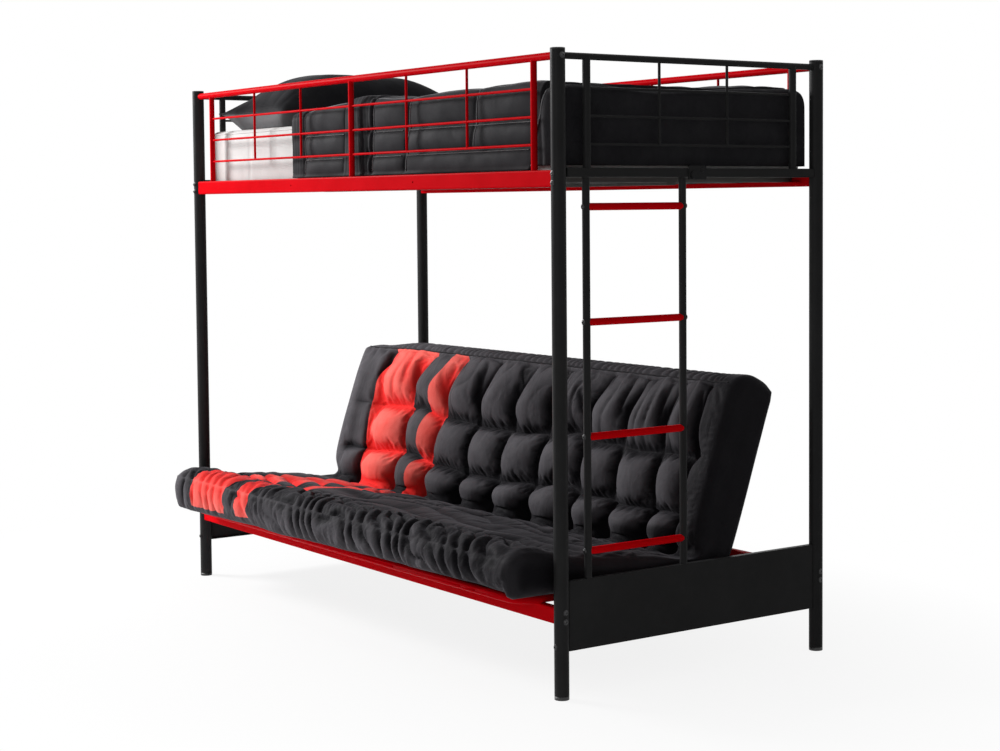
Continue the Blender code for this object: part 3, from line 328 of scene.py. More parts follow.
def weld(made, distance=1e-5):
    work = bmesh.new()
    work.from_mesh(made.data)
    bmesh.ops.remove_doubles(work, verts=work.verts, dist=distance)
    bmesh.ops.dissolve_degenerate(work, dist=1e-7, edges=work.edges)
    bmesh.ops.recalc_face_normals(work, faces=work.faces)
    work.to_mesh(made.data)
    work.free()
    return made


def join(name, pieces):
    """One piece out of several, keeping each one's finish and attributes."""
    with bpy.context.temp_override(active_object=pieces[0], object=pieces[0],
                                   selected_objects=pieces, selected_editable_objects=pieces):
        if len(pieces) > 1:
            bpy.ops.object.join()
    pieces[0].name = name
    pieces[0].data.name = name
    return pieces[0]


def geometry_tree(name, result, inputs, makers, links):
    """A node tree: its result, its inputs and nodes as (label, kind), and its links as two "node.socket"."""
    tree = bpy.data.node_groups.new(name, "GeometryNodeTree")
    for label, kind in inputs:
        tree.interface.new_socket(label, in_out="INPUT", socket_type="NodeSocket" + kind)
    tree.interface.new_socket(result, in_out="OUTPUT", socket_type="NodeSocketGeometry")
    made = {label: tree.nodes.new(kind) for label, kind in makers}
    made["enter"], made["leave"] = tree.nodes.new("NodeGroupInput"), tree.nodes.new("NodeGroupOutput")
    for first, second in links:
        (source, out), (target, into) = first.split("."), second.split(".")
        tree.links.new(made[source].outputs[out], made[target].inputs[into])
    return tree, made


def tube_tree():
    """A round tube along each path of a wire: its radius, its number of sides and its finish."""
    tree, made = geometry_tree(
        "tube_along_path", "Tube",
        (("Path", "Geometry"), ("Radius", "Float"), ("Sides", "Int"), ("Finish", "Material")),
        (("path", "GeometryNodeMeshToCurve"), ("ring", "GeometryNodeCurvePrimitiveCircle"),
         ("sweep", "GeometryNodeCurveToMesh"), ("smooth", "GeometryNodeSetShadeSmooth"),
         ("real", "GeometryNodeRealizeInstances"), ("dress", "GeometryNodeSetMaterial")),
        (("enter.Path", "path.Mesh"), ("enter.Radius", "ring.Radius"), ("enter.Sides", "ring.Resolution"),
         ("path.Curve", "sweep.Curve"), ("ring.Curve", "sweep.Profile Curve"), ("sweep.Mesh", "smooth.Geometry"),
         ("smooth.Geometry", "real.Geometry"), ("real.Geometry", "dress.Geometry"),
         ("enter.Finish", "dress.Material"), ("dress.Geometry", "leave.Tube")))
    made["sweep"].inputs["Fill Caps"].default_value = True
    return tree


def fastener_tree():
    """A round-headed bolt and its washer at each point, standing along the point's own aim."""
    tree, made = geometry_tree(
        "bolt_on_each_point", "Bolts",
        (("Points", "Geometry"), ("Head", "Object"), ("Size", "Float"), ("Finish", "Material")),
        (("head", "GeometryNodeObjectInfo"), ("aim", "GeometryNodeInputNamedAttribute"),
         ("turn", "FunctionNodeAlignRotationToVector"), ("stand", "GeometryNodeInstanceOnPoints"),
         ("real", "GeometryNodeRealizeInstances"), ("dress", "GeometryNodeSetMaterial")),
        (("enter.Head", "head.Object"), ("enter.Points", "stand.Points"), ("head.Geometry", "stand.Instance"),
         ("turn.Rotation", "stand.Rotation"), ("enter.Size", "stand.Scale"), ("stand.Instances", "real.Geometry"),
         ("real.Geometry", "dress.Geometry"), ("enter.Finish", "dress.Material"), ("dress.Geometry", "leave.Bolts")))
    made["aim"].data_type, made["aim"].inputs["Name"].default_value = "FLOAT_VECTOR", "aim"
    made["turn"].axis = "Z"
    tree.links.new(next(s for s in made["aim"].outputs if s.enabled), made["turn"].inputs["Vector"])
    return tree


TUBE_TREE = tube_tree()
FASTENER_TREE = fastener_tree()


def grown(name, guide, tree, values):
    """The plain mesh that a tree makes from a guide mesh; the guide and its modifier are then removed."""
    helper = stood(name + "_guide", guide)
    modifier = helper.modifiers.new("grow", "NODES")
    modifier.node_group = tree
    for socket in tree.interface.items_tree:
        if socket.in_out == "INPUT" and socket.name in values:
            modifier[socket.identifier] = values[socket.name]
    graph = bpy.context.evaluated_depsgraph_get()
    mesh = bpy.data.meshes.new_from_object(helper.evaluated_get(graph))
    mesh.name = name
    bpy.data.objects.remove(helper)
    return stood(name, mesh)


def tubes(name, radius, runs, finish, sides=20):
    """Tubes of one radius; a run is (points, closed), already in the frame's metres."""
    points, edges = [], []
    for run, closed in runs:
        start = len(points)
        points += [tuple(p) for p in run]
        edges += [(start + i, start + i + 1) for i in range(len(run) - 1)]
        if closed:
            edges.append((len(points) - 1, start))
    guide = bpy.data.meshes.new(name + "_wire")
    guide.from_pydata(points, edges, [])
    made = grown(name, guide, TUBE_TREE, {"Radius": radius, "Sides": sides, "Finish": finish})
    made.data.set_sharp_from_angle(angle=math.radians(50))
    return made


def straight(start, end):
    return ([bed(*start), bed(*end)], False)


def standing(low, high, places):
    """Straight upright runs at each (x, y)."""
    return [straight((x, y, low), (x, y, high)) for x, y in places]


def bolt_head():
    """A button head with a six-sided socket, on a thin washer; one unit is the head's radius."""
    outline = ((1.28, 0.0), (1.28, 0.10), (1.22, 0.14), (1.0, 0.14), (1.0, 0.26), (0.90, 0.42), (0.72, 0.55),
               (0.50, 0.62), (0.42, 0.62))
    sides = 24
    points, faces = [], []
    for radius, height in outline:
        points += [(radius * math.cos(math.tau * k / sides), radius * math.sin(math.tau * k / sides), height)
                   for k in range(sides)]
    rim = len(outline) - 1
    for depth in (0.60, 0.34):
        for k in range(sides):
            turn = math.tau * k / sides
            flat = 0.36 / math.cos((turn + math.pi / 6) % (math.pi / 3) - math.pi / 6)
            points.append((flat * math.cos(turn), flat * math.sin(turn), depth))
    for row in range(rim + 2):
        for k in range(sides):
            near, far = row * sides + k, row * sides + (k + 1) % sides
            faces.append((near, far, far + sides, near + sides))
    faces.append(tuple((rim + 2) * sides + k for k in range(sides)))
    faces.append(tuple(reversed(range(sides))))
    made = piece("bolt_head_shape", points, faces, BOLT, angle=35)
    made.hide_render = True
    made.hide_viewport = True
    return made


HEAD = bolt_head()


def bolts(name, places, size, finish=BOLT):
    """A bolt at each (place, aim)."""
    guide = bpy.data.meshes.new(name + "_points")
    guide.from_pydata([p for p, _ in places], [], [])
    aims = guide.attributes.new("aim", "FLOAT_VECTOR", "POINT")
    aims.data.foreach_set("vector", np.array([a for _, a in places], np.float32).ravel())
    return grown(name, guide, FASTENER_TREE, {"Head": HEAD, "Size": size, "Finish": finish})


def fit(made, body, slot, *stands_for):
    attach(made, body)
    if stands_for:
        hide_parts(*stands_for)
    return made


def eased(node, finish, body, slot, angle=38):
    """The node's own shape with its doubles merged and its round faces shaded round."""
    made = stood(node + "_finished", nodes[node].data.copy())
    made.data.name = made.name
    weld(made, 2e-6)
    made.data.materials.clear()
    made.data.materials.append(finish)
    made.data.polygons.foreach_set("material_index", [0] * len(made.data.polygons))
    rounded(made.data, angle)
    return fit(made, body, slot, node)


def dressed(node, finish):
    """A node whose shape is right keeps it, and gets its finish."""
    mesh = nodes[node].data
    if not mesh.materials:
        mesh.materials.append(finish)
    for index in range(len(mesh.materials)):
        mesh.materials[index] = finish


# Steelwork --------------------------------------------------------------------------------------

GUARD_TOP, RAIL_TOP, BEAM_LOW, BEAM_HIGH = 1.700, 1.402, 1.383, 1.408
LINE_HEIGHTS = (1.470, 1.544, 1.618)
GUARD_HALF, END_HALF = 0.9535, 0.371
LINE_RADIUS, ROD_RADIUS = 0.0036, 0.004
# How far from a post's axis its bolt heads sit
BOLT_SEAT = POST_RADIUS - 0.0002
# The thin rods of guards and ends stand on their lowest line
ROD_LOW = LINE_HEIGHTS[0] - 0.0018


def posts():
    for face, sy in FACES:
        for side, sx in SIDES:
            x, y, corner = sx * POST_X, sy * POST_Y, face + "_" + side
            shaft = tubes("post_shaft_" + corner, POST_RADIUS, standing(0.0103, 1.7157, [(x, y)]), BLACK, 48)
            places = [(bed(x, sy * (POST_Y + BOLT_SEAT), 0.142), (0, sy, 0))]
            places += [(bed(sx * (POST_X + BOLT_SEAT), y, z), (sx, 0, 0)) for z in (0.235, 0.210)]
            heads = bolts("post_bolts_" + corner, places, 0.0062)
            fit(join("post_tube_" + corner, [shaft, heads]), "bed", "black_enamel", "post_" + corner)
            for kind in ("post_cap_", "post_foot_"):
                eased(kind + corner, PLASTIC, "bed", "black_plastic", 30)
            for kind in ("guard_bolt_", "rail_bolt_upper_", "rail_bolt_lower_"):
                low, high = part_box(kind + corner)
                middle = (low + high) / 2
                to_end = kind == "guard_bolt_" or abs(middle.x) > POST_X
                outward = Vector((sx, 0, 0)) if to_end else Vector((0, sy, 0))
                seat = Vector(bed(x, y, middle.z)) + outward * BOLT_SEAT
                made = bolts(kind + "head_" + corner, [(tuple(seat), tuple(outward))], 0.0064)
                fit(made, "bed", "black_bolt", kind + corner)


def guards():
    for face, sy in FACES:
        y = sy * POST_Y
        low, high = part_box("guard_rail_" + face)
        parts = [
            tubes("guard_rail_tube", 0.0105,
                  [straight((low.x + 0.0005, y, GUARD_TOP), (high.x - 0.0005, y, GUARD_TOP))], RED, 28),
            tubes("guard_uprights", 0.009,
                  standing(RAIL_TOP + 0.0004, GUARD_TOP, [(x, y) for x in (-GUARD_HALF, 0.0, GUARD_HALF)]), RED, 20),
            tubes("guard_lines", LINE_RADIUS,
                  [straight((-GUARD_HALF, y, z), (GUARD_HALF, y, z)) for z in LINE_HEIGHTS], RED, 12),
            tubes("guard_rods", ROD_RADIUS,
                  standing(ROD_LOW, GUARD_TOP, [(x, y) for x in (-0.636, -0.318, 0.318, 0.636)]), RED, 14),
        ]
        fit(join("guard_" + face, parts), "bed", "red_enamel", "guard_rail_" + face)


for node in nodes:
    for start, finish in (("side_rail", RED), ("futon_rail", BRIGHTENED_RAIL_RED), ("end_panel", BLACK),
                          ("slide_track", BLACK), ("upper_slat", WOOD), ("seat_grille", BLACK),
                          ("back_grille", BLACK), ("ladder_hook", BLACK)):
        if node.startswith(start):
            dressed(node, finish)


def end_frames():
    for end, sx in SIDES:
        x = sx * POST_X
        inside = POST_Y - POST_RADIUS - 0.0004
        beam = bmesh.new()
        bmesh.ops.create_cube(beam, size=1.0)
        size = Matrix.Diagonal((0.025, 2 * inside, BEAM_HIGH - BEAM_LOW, 1))
        bmesh.ops.transform(beam, matrix=size, verts=beam.verts)
        bmesh.ops.translate(beam, vec=bed(x, 0, (BEAM_LOW + BEAM_HIGH) / 2), verts=beam.verts)
        along = [e for e in beam.edges if abs((e.verts[0].co - e.verts[1].co).y) > 0.1]
        bmesh.ops.bevel(beam, geom=along, offset=0.0025, segments=3, affect="EDGES")
        mesh = bpy.data.meshes.new("end_beam")
        beam.to_mesh(mesh)
        beam.free()
        mesh.materials.append(BLACK)
        rounded(mesh, 35)
        parts = [
            stood("end_beam", mesh),
            tubes("end_top_tube", 0.009, [straight((x, -inside, GUARD_TOP), (x, inside, GUARD_TOP))], BLACK, 22),
            tubes("end_uprights", 0.011,
                  standing(BEAM_HIGH - 0.002, GUARD_TOP, [(x, -END_HALF), (x, END_HALF)]), BLACK, 24),
            tubes("end_lines", LINE_RADIUS,
                  [straight((x, -END_HALF, z), (x, END_HALF, z)) for z in LINE_HEIGHTS], BLACK, 12),
            tubes("end_rods", ROD_RADIUS, standing(ROD_LOW, GUARD_TOP, [(x, -0.122), (x, 0.122)]), BLACK, 14),
        ]
        fit(join("end_railing_" + end, parts), "bed", "black_enamel", "end_frame_" + end)


RUNG_HEIGHTS = (0.387, 0.693, 0.999, 1.305)


def ladder():
    for face, y, out in (("front", -0.375, -1), ("rear", -0.0415, 1)):
        low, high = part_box("ladder_upright_" + face)
        shaft = tubes("ladder_shaft", 0.0105, standing(low.z, high.z, [(POST_X, y)]), BLACK, 24)
        heads = bolts("ladder_bolts", [(bed(POST_X, y + out * 0.0103, z), (0, out, 0)) for z in RUNG_HEIGHTS], 0.0060)
        fit(join("ladder_tube_" + face, [shaft, heads]), "bed", "black_enamel", "ladder_upright_" + face)
    for step, z in enumerate(RUNG_HEIGHTS):
        node = "ladder_rung_%d" % (step + 1)
        low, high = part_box(node)
        rung = tubes("ladder_step_%d" % (step + 1), 0.010,
                     [([(POST_X, low.y, z), (POST_X, high.y, z)], False)], BRIGHTENED_STEP_RED, 24)
        fit(rung, "bed", "red_enamel", node)


posts()
guards()
end_frames()
ladder()
eased("seat_frame", RED, "seat", "red_enamel")
eased("back_frame", RED, "back", "red_enamel")
for end, _ in SIDES:
    eased("hinge_pin_" + end, ZINC, "seat", "zinc_steel")
    eased("seat_glide_" + end, PLASTIC, "seat", "black_plastic")


# Upholstery -------------------------------------------------------------------------------------


def paint_crease_shade(made, rounds, low, high, shadow=None):
    """Writes a painted light level for each point, from how far it stands above the smoothed shape: 0, painted shade,
    in the creases, to 1 on the puffs.
    """
    mesh = made.data
    count = len(mesh.vertices)
    points, normals, ends = np.empty(count * 3), np.empty(count * 3), np.empty(len(mesh.edges) * 2, dtype=np.int32)
    mesh.vertices.foreach_get("co", points)
    mesh.vertices.foreach_get("normal", normals)
    mesh.edges.foreach_get("vertices", ends)
    points, normals = points.reshape(-1, 3), normals.reshape(-1, 3)
    first, second = ends.reshape(-1, 2).T
    links = np.bincount(first, minlength=count) + np.bincount(second, minlength=count)
    smooth = points.copy()
    for _ in range(rounds):
        smooth = np.stack([np.bincount(first, smooth[second, k], count) + np.bincount(second, smooth[first, k], count)
                           for k in range(3)], axis=1) / links[:, None]
    above = np.sum((points - smooth) * normals, axis=1)
    if shadow is None:
        raised = ease(above, low, high)
    else:
        sunk, dimmed = shadow(points)
        raised = ease(above - sunk, low, high) * dimmed
    note(made, "raised", raised)


def drift(x, y, seed):
    """Slow, even wandering between -1 and 1 over a plane, the same on every run."""
    lattice = np.random.default_rng(seed).uniform(-1, 1, (64, 64))
    x, y = np.asarray(x, float), np.asarray(y, float)
    x0, y0 = np.floor(x).astype(int), np.floor(y).astype(int)
    fx, fy = x - x0, y - y0
    fx, fy = fx * fx * (3 - 2 * fx), fy * fy * (3 - 2 * fy)
    a, b = lattice[x0 % 64, y0 % 64], lattice[(x0 + 1) % 64, y0 % 64]
    c, d = lattice[x0 % 64, (y0 + 1) % 64], lattice[(x0 + 1) % 64, (y0 + 1) % 64]
    return (a * (1 - fx) + b * fx) * (1 - fy) + (c * (1 - fx) + d * fx) * fy


def ease(value, low, high):
    t = np.clip((np.asarray(value, float) - low) / (high - low), 0, 1)
    return t * t * (3 - 2 * t)


def puff(share, edge=0.5):
    """How full a sewn pocket is from one seam, 0, to the next, 1."""
    share = np.clip(share, 0, 1)
    return np.power(np.clip(4 * share * (1 - share), 0, 1), edge)


def folds(place, sharpness):
    """Folds side by side, one for each whole number of the place: 0 in the valleys, 1 on the ridges."""
    return np.abs(np.sin(np.pi * place)) ** sharpness


def hill(distance, width):
    """1 at no distance, falling away smoothly over the width."""
    return np.exp(-(distance / width) ** 2)


def evenly(knots, count, closed=False):
    """Evenly spaced points along a line of points."""
    run = lengths(knots)
    even = np.linspace(0, run[-1], count, endpoint=not closed)
    return np.stack([np.interp(even, run, knots[:, k]) for k in range(2)], axis=1)


def quarter_turns(corners, radius, count):
    """Points round quarter circles, each (middle, middle, first angle)."""
    made = []
    for a, b, start in corners:
        for turn in np.linspace(start, start + 90, count):
            made.append((a + radius * math.cos(math.radians(turn)), b + radius * math.sin(math.radians(turn))))
    return made


def arch(half, hem, shoulder, corner, side_count, top_count):
    """A section in Y and Z: from the front hem up, over a rounded edge, across the top and down to the rear hem."""
    rising = [(-half, z) for z in np.linspace(hem, shoulder, side_count)]
    rising += [(-half + corner * (1 - math.cos(a)), shoulder + corner * math.sin(a))
               for a in np.linspace(0, math.pi / 2, 12)[1:]]
    over = [(y, shoulder + corner) for y in np.linspace(-half + corner, half - corner, top_count)[1:-1]]
    return rising + over + [(-y, z) for y, z in reversed(rising)]


def line_normals(line):
    """The normals of an open line, to its left."""
    tangent = np.gradient(line, axis=0)
    tangent /= np.linalg.norm(tangent, axis=1)[:, None]
    return np.stack([-tangent[:, 1], tangent[:, 0]], axis=1)


def curve_through(knots, count):
    """Evenly spaced points on a smooth curve through the knots."""
    knots = np.array(knots, float)
    padded = np.vstack([2 * knots[0] - knots[1], knots, 2 * knots[-1] - knots[-2]])
    fine = []
    for i in range(1, len(padded) - 2):
        p0, p1, p2, p3 = padded[i - 1:i + 3]
        t = np.linspace(0, 1, 24, endpoint=False)[:, None]
        fine.append(0.5 * (2 * p1 + (p2 - p0) * t + (2 * p0 - 5 * p1 + 4 * p2 - p3) * t ** 2
                           + (3 * p1 - p0 - 3 * p2 + p3) * t ** 3))
    return evenly(np.vstack(fine + [knots[-1:]]), count)


def ring_normals(ring):
    """The outward normals of a closed ring."""
    ahead, behind = np.roll(ring, -1, axis=0), np.roll(ring, 1, axis=0)
    along = ahead - behind
    along /= np.linalg.norm(along, axis=1)[:, None] + 1e-12
    turn = np.sign(np.sum(ring[:, 0] * ahead[:, 1] - ahead[:, 0] * ring[:, 1]))
    return turn * np.stack([along[:, 1], -along[:, 0]], axis=1)


def grid_faces(rows, ring):
    """Quads between rows of closed rings."""
    r = np.arange(rows - 1)[:, None] * ring
    k = np.arange(ring)[None, :]
    nxt = (k + 1) % ring
    return np.stack([r + k, r + nxt, r + ring + nxt, r + ring + k], axis=-1).reshape(-1, 4)


def open_grid(rows, columns):
    """Quads between rows of open lines."""
    order = np.arange(rows * columns).reshape(rows, columns)
    return np.stack([order[:-1, :-1], order[1:, :-1], order[1:, 1:], order[:-1, 1:]], axis=-1).reshape(-1, 4)


def end_rows(ring, spine, edge, round_end, angles, parts):
    """Turns an end over a rounded shoulder and closes it on a line inside: rows of (x, ring, share of its size)."""
    towards = spine - ring
    reach = np.linalg.norm(towards, axis=1)[:, None]
    made = []
    for angle in angles:
        inset = np.minimum(round_end * (1 - math.cos(angle)), 0.8 * reach)
        made.append((edge - round_end * (1 - math.sin(angle)), ring + towards / reach * inset, 1.0))
    last = made[-1][1]
    return made + [(edge, last + (spine - last) * part, 1 - part) for part in parts]


def swept(rows):
    """The points of rows, each (x, ring), in the frame's metres."""
    return np.array([np.stack([x + 0 * ring[:, 0], ring[:, 0] + AXES_Y, ring[:, 1]], axis=1)
                     for x, ring in rows]).reshape(-1, 3)


def stuff(made, grow, pressure, most, frames, stiffness):
    """Cloth simulation: the cover, cut a little too big, is pushed out by its filling between held seams."""
    held = np.zeros(len(made.data.vertices), np.float32)
    made.data.attributes["held"].data.foreach_get("value", held)
    group = made.vertex_groups.new(name="held_seams")
    for weight in (0.25, 0.5, 0.75, 1.0):
        chosen = np.flatnonzero(np.abs(held - weight) < 0.125)
        if len(chosen):
            group.add(chosen.tolist(), float(weight), "REPLACE")
    before = np.zeros(len(made.data.vertices) * 3, np.float32)
    made.data.vertices.foreach_get("co", before)
    modifier = made.modifiers.new("filling", "CLOTH")
    cover = modifier.settings
    cover.quality = 4
    cover.tension_stiffness, cover.compression_stiffness, cover.shear_stiffness, cover.bending_stiffness = stiffness
    cover.vertex_group_mass = "held_seams"
    cover.effector_weights.gravity = 0
    cover.use_pressure = True
    cover.uniform_pressure_force = pressure
    cover.shrink_min = -grow
    modifier.collision_settings.use_collision = False
    modifier.point_cache.frame_start, modifier.point_cache.frame_end = 1, frames
    for step in range(1, frames + 1):
        bpy.context.scene.frame_set(step)
    graph = bpy.context.evaluated_depsgraph_get()
    settled = made.evaluated_get(graph).to_mesh()
    after = np.zeros_like(before)
    settled.vertices.foreach_get("co", after)
    made.evaluated_get(graph).to_mesh_clear()
    before, after = before.reshape(-1, 3), after.reshape(-1, 3)
    moved = after - before
    length = np.linalg.norm(moved, axis=1)[:, None] + 1e-9
    after = before + moved * np.minimum(1, most * np.tanh(length / most) / length)
    made.modifiers.remove(modifier)
    made.vertex_groups.clear()
    made.data.vertices.foreach_set("co", after.astype(np.float32).ravel())
    made.data.attributes.remove(made.data.attributes["held"])
    made.data.update()
    bpy.context.scene.frame_set(1)
    print("stuffed", made.name, "moved up to", round(float(length.max()), 4), "mean", round(float(length.mean()), 4))


def on_back(off, up):
    return HINGE + off * OFF_BACK + up * UP_BACK


# The futon's sewn lines: seams between columns, low on the back and higher up, where they lean to the left
LOW_SEAMS = (*WIDE_BAND, *NARROW_BAND, -0.213, -0.020, 0.178, 0.410, 0.590, 0.778, 0.925)
HIGH_SEAMS = (-0.855, -0.630, -0.500, -0.415, -0.217, -0.020, 0.182, 0.395, 0.578, 0.760, 0.910)
FAN_SEAMS = (-0.798, -0.520, -0.405, -0.335, -0.130, 0.065, 0.265, 0.470, 0.650, 0.815, 0.925)
FRONT_SEAMS = (-0.870, -0.622, -0.539, -0.454, -0.240, -0.030, 0.170, 0.380, 0.570, 0.740, 0.890)
BACK_ROWS = (0.006, 0.126, 0.292, 0.507)
# How far the top edge comes down at the left end
TOP_FALL = 0.026


def back_depth(x, u, place, index, across, width, row, rise, row_height, across_shape, plain_end):
    """How far the back's cover is drawn in: round pockets in three rows, the top row in pleats that fan out."""
    fill = 0.92 + 0.20 * drift(index * 3.7 + 0.5, row * 5.3 + 0.5, 3)
    narrow = np.where(index == 2, 0.9, 1.0)
    low_shape = across_shape * np.where(row == 0, puff(0.24 + 0.76 * rise, 0.72), puff(rise, 0.72))
    fan_shape = 1 - (1 - across_shape) * (1 - 0.65 * ease(rise, 0.40, 1.0))
    fan_shape = fan_shape * puff(0.5 * np.clip(rise * 2.1, 0, 1), 0.8)
    pocket = np.where(row == 2, fan_shape, low_shape)
    sewn_in = 0.060 * fill * narrow * (1 - pocket) * (0.12 + 0.88 * plain_end)
    back_sink = 0.003 - 0.024 * low_shape * (row == 0) + sewn_in
    # Creases that run in from the pinched corners, and the pleats of the top row
    corner_u = np.minimum(rise, 1 - rise) * row_height
    corner_x = np.minimum(across, 1 - across) * width
    reach_in = np.hypot(corner_u, corner_x)
    turn_in = np.arctan2(corner_u, corner_x + 1e-6)
    start = 2.0 * drift(index * 2.3 + 0.5, row * 3.1 + 0.5, 12)
    rays = np.abs(np.sin(turn_in * 6.5 + start + 0.8 * drift(x * 14, u * 14, 13)))
    corner_crease = 0.0052 * hill(reach_in - 0.030, 0.028) * (rays ** 0.7 - 0.6)
    corner_crease = corner_crease * plain_end * (0.6 + 0.6 * drift(x * 5, u * 6, 14))
    back_sink -= corner_crease * np.where(row == 2, 1 - ease(rise, 0.1, 0.3), 1)
    pleat = place * 3.0 + 0.8 * drift(x * 8, u * 5, 5) + 0.9 * (rise - 0.4) * drift(x * 3, 0 * u, 8)
    ridge = folds(pleat, 0.65) - 0.64
    strength = 0.0105 * hill(rise - 0.52, 0.34) + 0.0030 * ease(rise, 0.85, 0.98)
    strength = strength * (0.55 + 0.75 * drift(x * 7, u * 3, 17)).clip(0.05) * plain_end * (row == 2)
    back_sink -= ridge * strength
    back_sink -= drift(x * 14 + 3 * u, u * 10, 21) * 0.0022 + drift(x * 22, u * 34, 22) * 0.0007
    # Side panels: broad soft hollows, drawn in where the rows meet them
    side_panel = 1 - plain_end
    back_sink += side_panel * (0.006 - 0.007 * drift(x * 5, u * 7, 31))
    back_sink += side_panel * 0.012 * hill(u - BACK_ROWS[1], 0.014) * (x < 0)
    return back_sink


def seat_depth(x, s, crease, across_shape):
    """The same for the seat: a rolled front in slanting gathers, a drawn-in line, then loose long folds."""
    slant = x + 0.85 * np.clip(s, -0.1, 0.2) + 2.7 * np.clip(s, -0.1, 0.2) ** 2
    gather = slant / 0.076 + 0.8 * drift(x * 6, s * 5, 41) + 0.35 * drift(x * 18, s * 9, 42)
    gather_ridge = folds(gather, 0.72) - 0.62
    roll = ease(s, -0.125, -0.06) * (1 - ease(s, 0.12, 0.25))
    pucker = 0.0205 * roll * (0.75 + 0.55 * drift(x * 6, s * 5, 43))
    pucker = np.where((x > -0.88) & (x < -0.40), pucker * 0.45, pucker)
    seat_sink = 0.004 * roll - gather_ridge * pucker
    fine_gather = folds(slant / 0.021 + 1.2 * drift(x * 12, s * 8, 46), 0.8) - 0.6
    seat_sink -= fine_gather * 0.0024 * roll * (0.5 + 0.6 * drift(x * 9, s * 7, 47)).clip(0)
    drawn = hill(s - 0.165 - 0.02 * drift(x * 3, 0 * s, 44), 0.026)
    seat_sink += 0.011 * drawn * (0.7 + 0.4 * drift(x * 7, s, 45))
    bed_zone = ease(s, 0.14, 0.22) * (1 - 0.6 * ease(s, crease - 0.06, crease - 0.01))
    long_fold = s * 30 + 3.2 * drift(x * 2.2, s * 5, 51) + 1.5 * drift(x * 5.5, s * 8, 52)
    fold_ridge = folds(long_fold * 0.42, 0.8) - 0.55
    seat_sink -= bed_zone * fold_ridge * 0.0215 * (0.7 + 0.5 * drift(x * 4, s * 6, 53))
    near_crease = ease(s, crease - 0.13, crease - 0.02)
    seat_sink += near_crease * 0.013 * (1 - across_shape) * (x > -0.95)
    seat_sink -= drift(x * 20, s * 14, 54) * 0.0016
    seat_sink += 0.004 * bed_zone
    return seat_sink


def futon_section():
    """The futon's fullest section in Y and Z: over the seat from the front edge, up the back and down behind it.

    A point's kind is 0 where it shows, 1 on top, 2 behind and underneath, and 3 in front.
    """
    show_knots = [(-0.603, 0.378), (-0.570, 0.397), (-0.520, 0.397), (-0.460, 0.386), (-0.380, 0.366),
                  (-0.250, 0.352), (-0.100, 0.336), (0.000, 0.316)]
    show_knots += [on_back(*at) for at in ((0.146, 0.024), (0.171, 0.075), (0.180, 0.15), (0.185, 0.30),
                                           (0.187, 0.41), (0.183, 0.485), (0.172, 0.513))]
    top_knots = [on_back(*at) for at in ((0.172, 0.513), (0.150, 0.539), (0.108, 0.556), (0.055, 0.551),
                                         (0.020, 0.535))]
    rear_knots = [on_back(*at) for at in ((0.020, 0.535), (0.0140, 0.50), (0.0138, 0.30), (0.0138, 0.06))]
    rear_knots += [(0.150, 0.290), (0.085, 0.2735), (-0.300, 0.2725), (-0.545, 0.2725), (-0.585, 0.273)]
    front_knots = [(-0.585, 0.273), (-0.605, 0.285), (-0.612, 0.315), (-0.613, 0.345), (-0.603, 0.378)]
    show = curve_through(show_knots, 236)
    parts = [show[:-1], curve_through(top_knots, 22)[:-1], curve_through(rear_knots, 46)[:-1],
             curve_through(front_knots, 16)[:-1]]
    kinds = np.concatenate([np.full(len(p), k) for k, p in enumerate(parts)])
    ring = np.vstack(parts)
    # How far each point lies along the side that shows, from the front edge, and where that side is creased
    run = lengths(show)
    along = np.where(kinds == 0, np.interp(np.arange(len(ring)), np.arange(len(run)), run), 0.0)
    back_step = np.linalg.norm(np.diff(np.vstack([parts[3], show[:1]]), axis=0), axis=1)
    along[kinds == 3] = -np.cumsum(back_step[::-1])[::-1]
    crease = run[np.argmin(np.linalg.norm(show - np.array(show_knots[7]), axis=1))]
    return ring, kinds, along, run[-1], crease


def closing_line(ring, kinds, along, length, crease):
    """Where each point of the section ends up in the middle of a boxed end: a line along the seat and up the back."""
    rear = np.flatnonzero(kinds == 2)
    rear_run = lengths(ring[rear])
    share = np.select([kinds == 0, kinds == 1], [along / length, 1.0], 0.0)
    rear_corner = np.argmin(np.linalg.norm(ring[rear] - np.array([0.12, 0.280]), axis=1))
    split = crease / length
    share[rear] = np.where(np.arange(len(rear)) <= rear_corner,
                           1 - (1 - split) * rear_run / rear_run[rear_corner],
                           split * (1 - (rear_run - rear_run[rear_corner]) / (rear_run[-1] - rear_run[rear_corner])))
    knots = np.array([0, 0.06, 0.2, 0.35, split - 0.05, split, split + 0.08, 0.75, 0.9, 1.0])
    line = np.array([(-0.555, 0.334), (-0.53, 0.334), (-0.38, 0.320), (-0.20, 0.311), (0.02, 0.298),
                     (0.105, 0.315), on_back(0.095, 0.12), on_back(0.099, 0.30),
                     on_back(0.099, 0.44), on_back(0.098, 0.475)])
    return np.stack([np.interp(np.clip(share, 0.02, 0.98), knots, line[:, k]) for k in range(2)], axis=1)


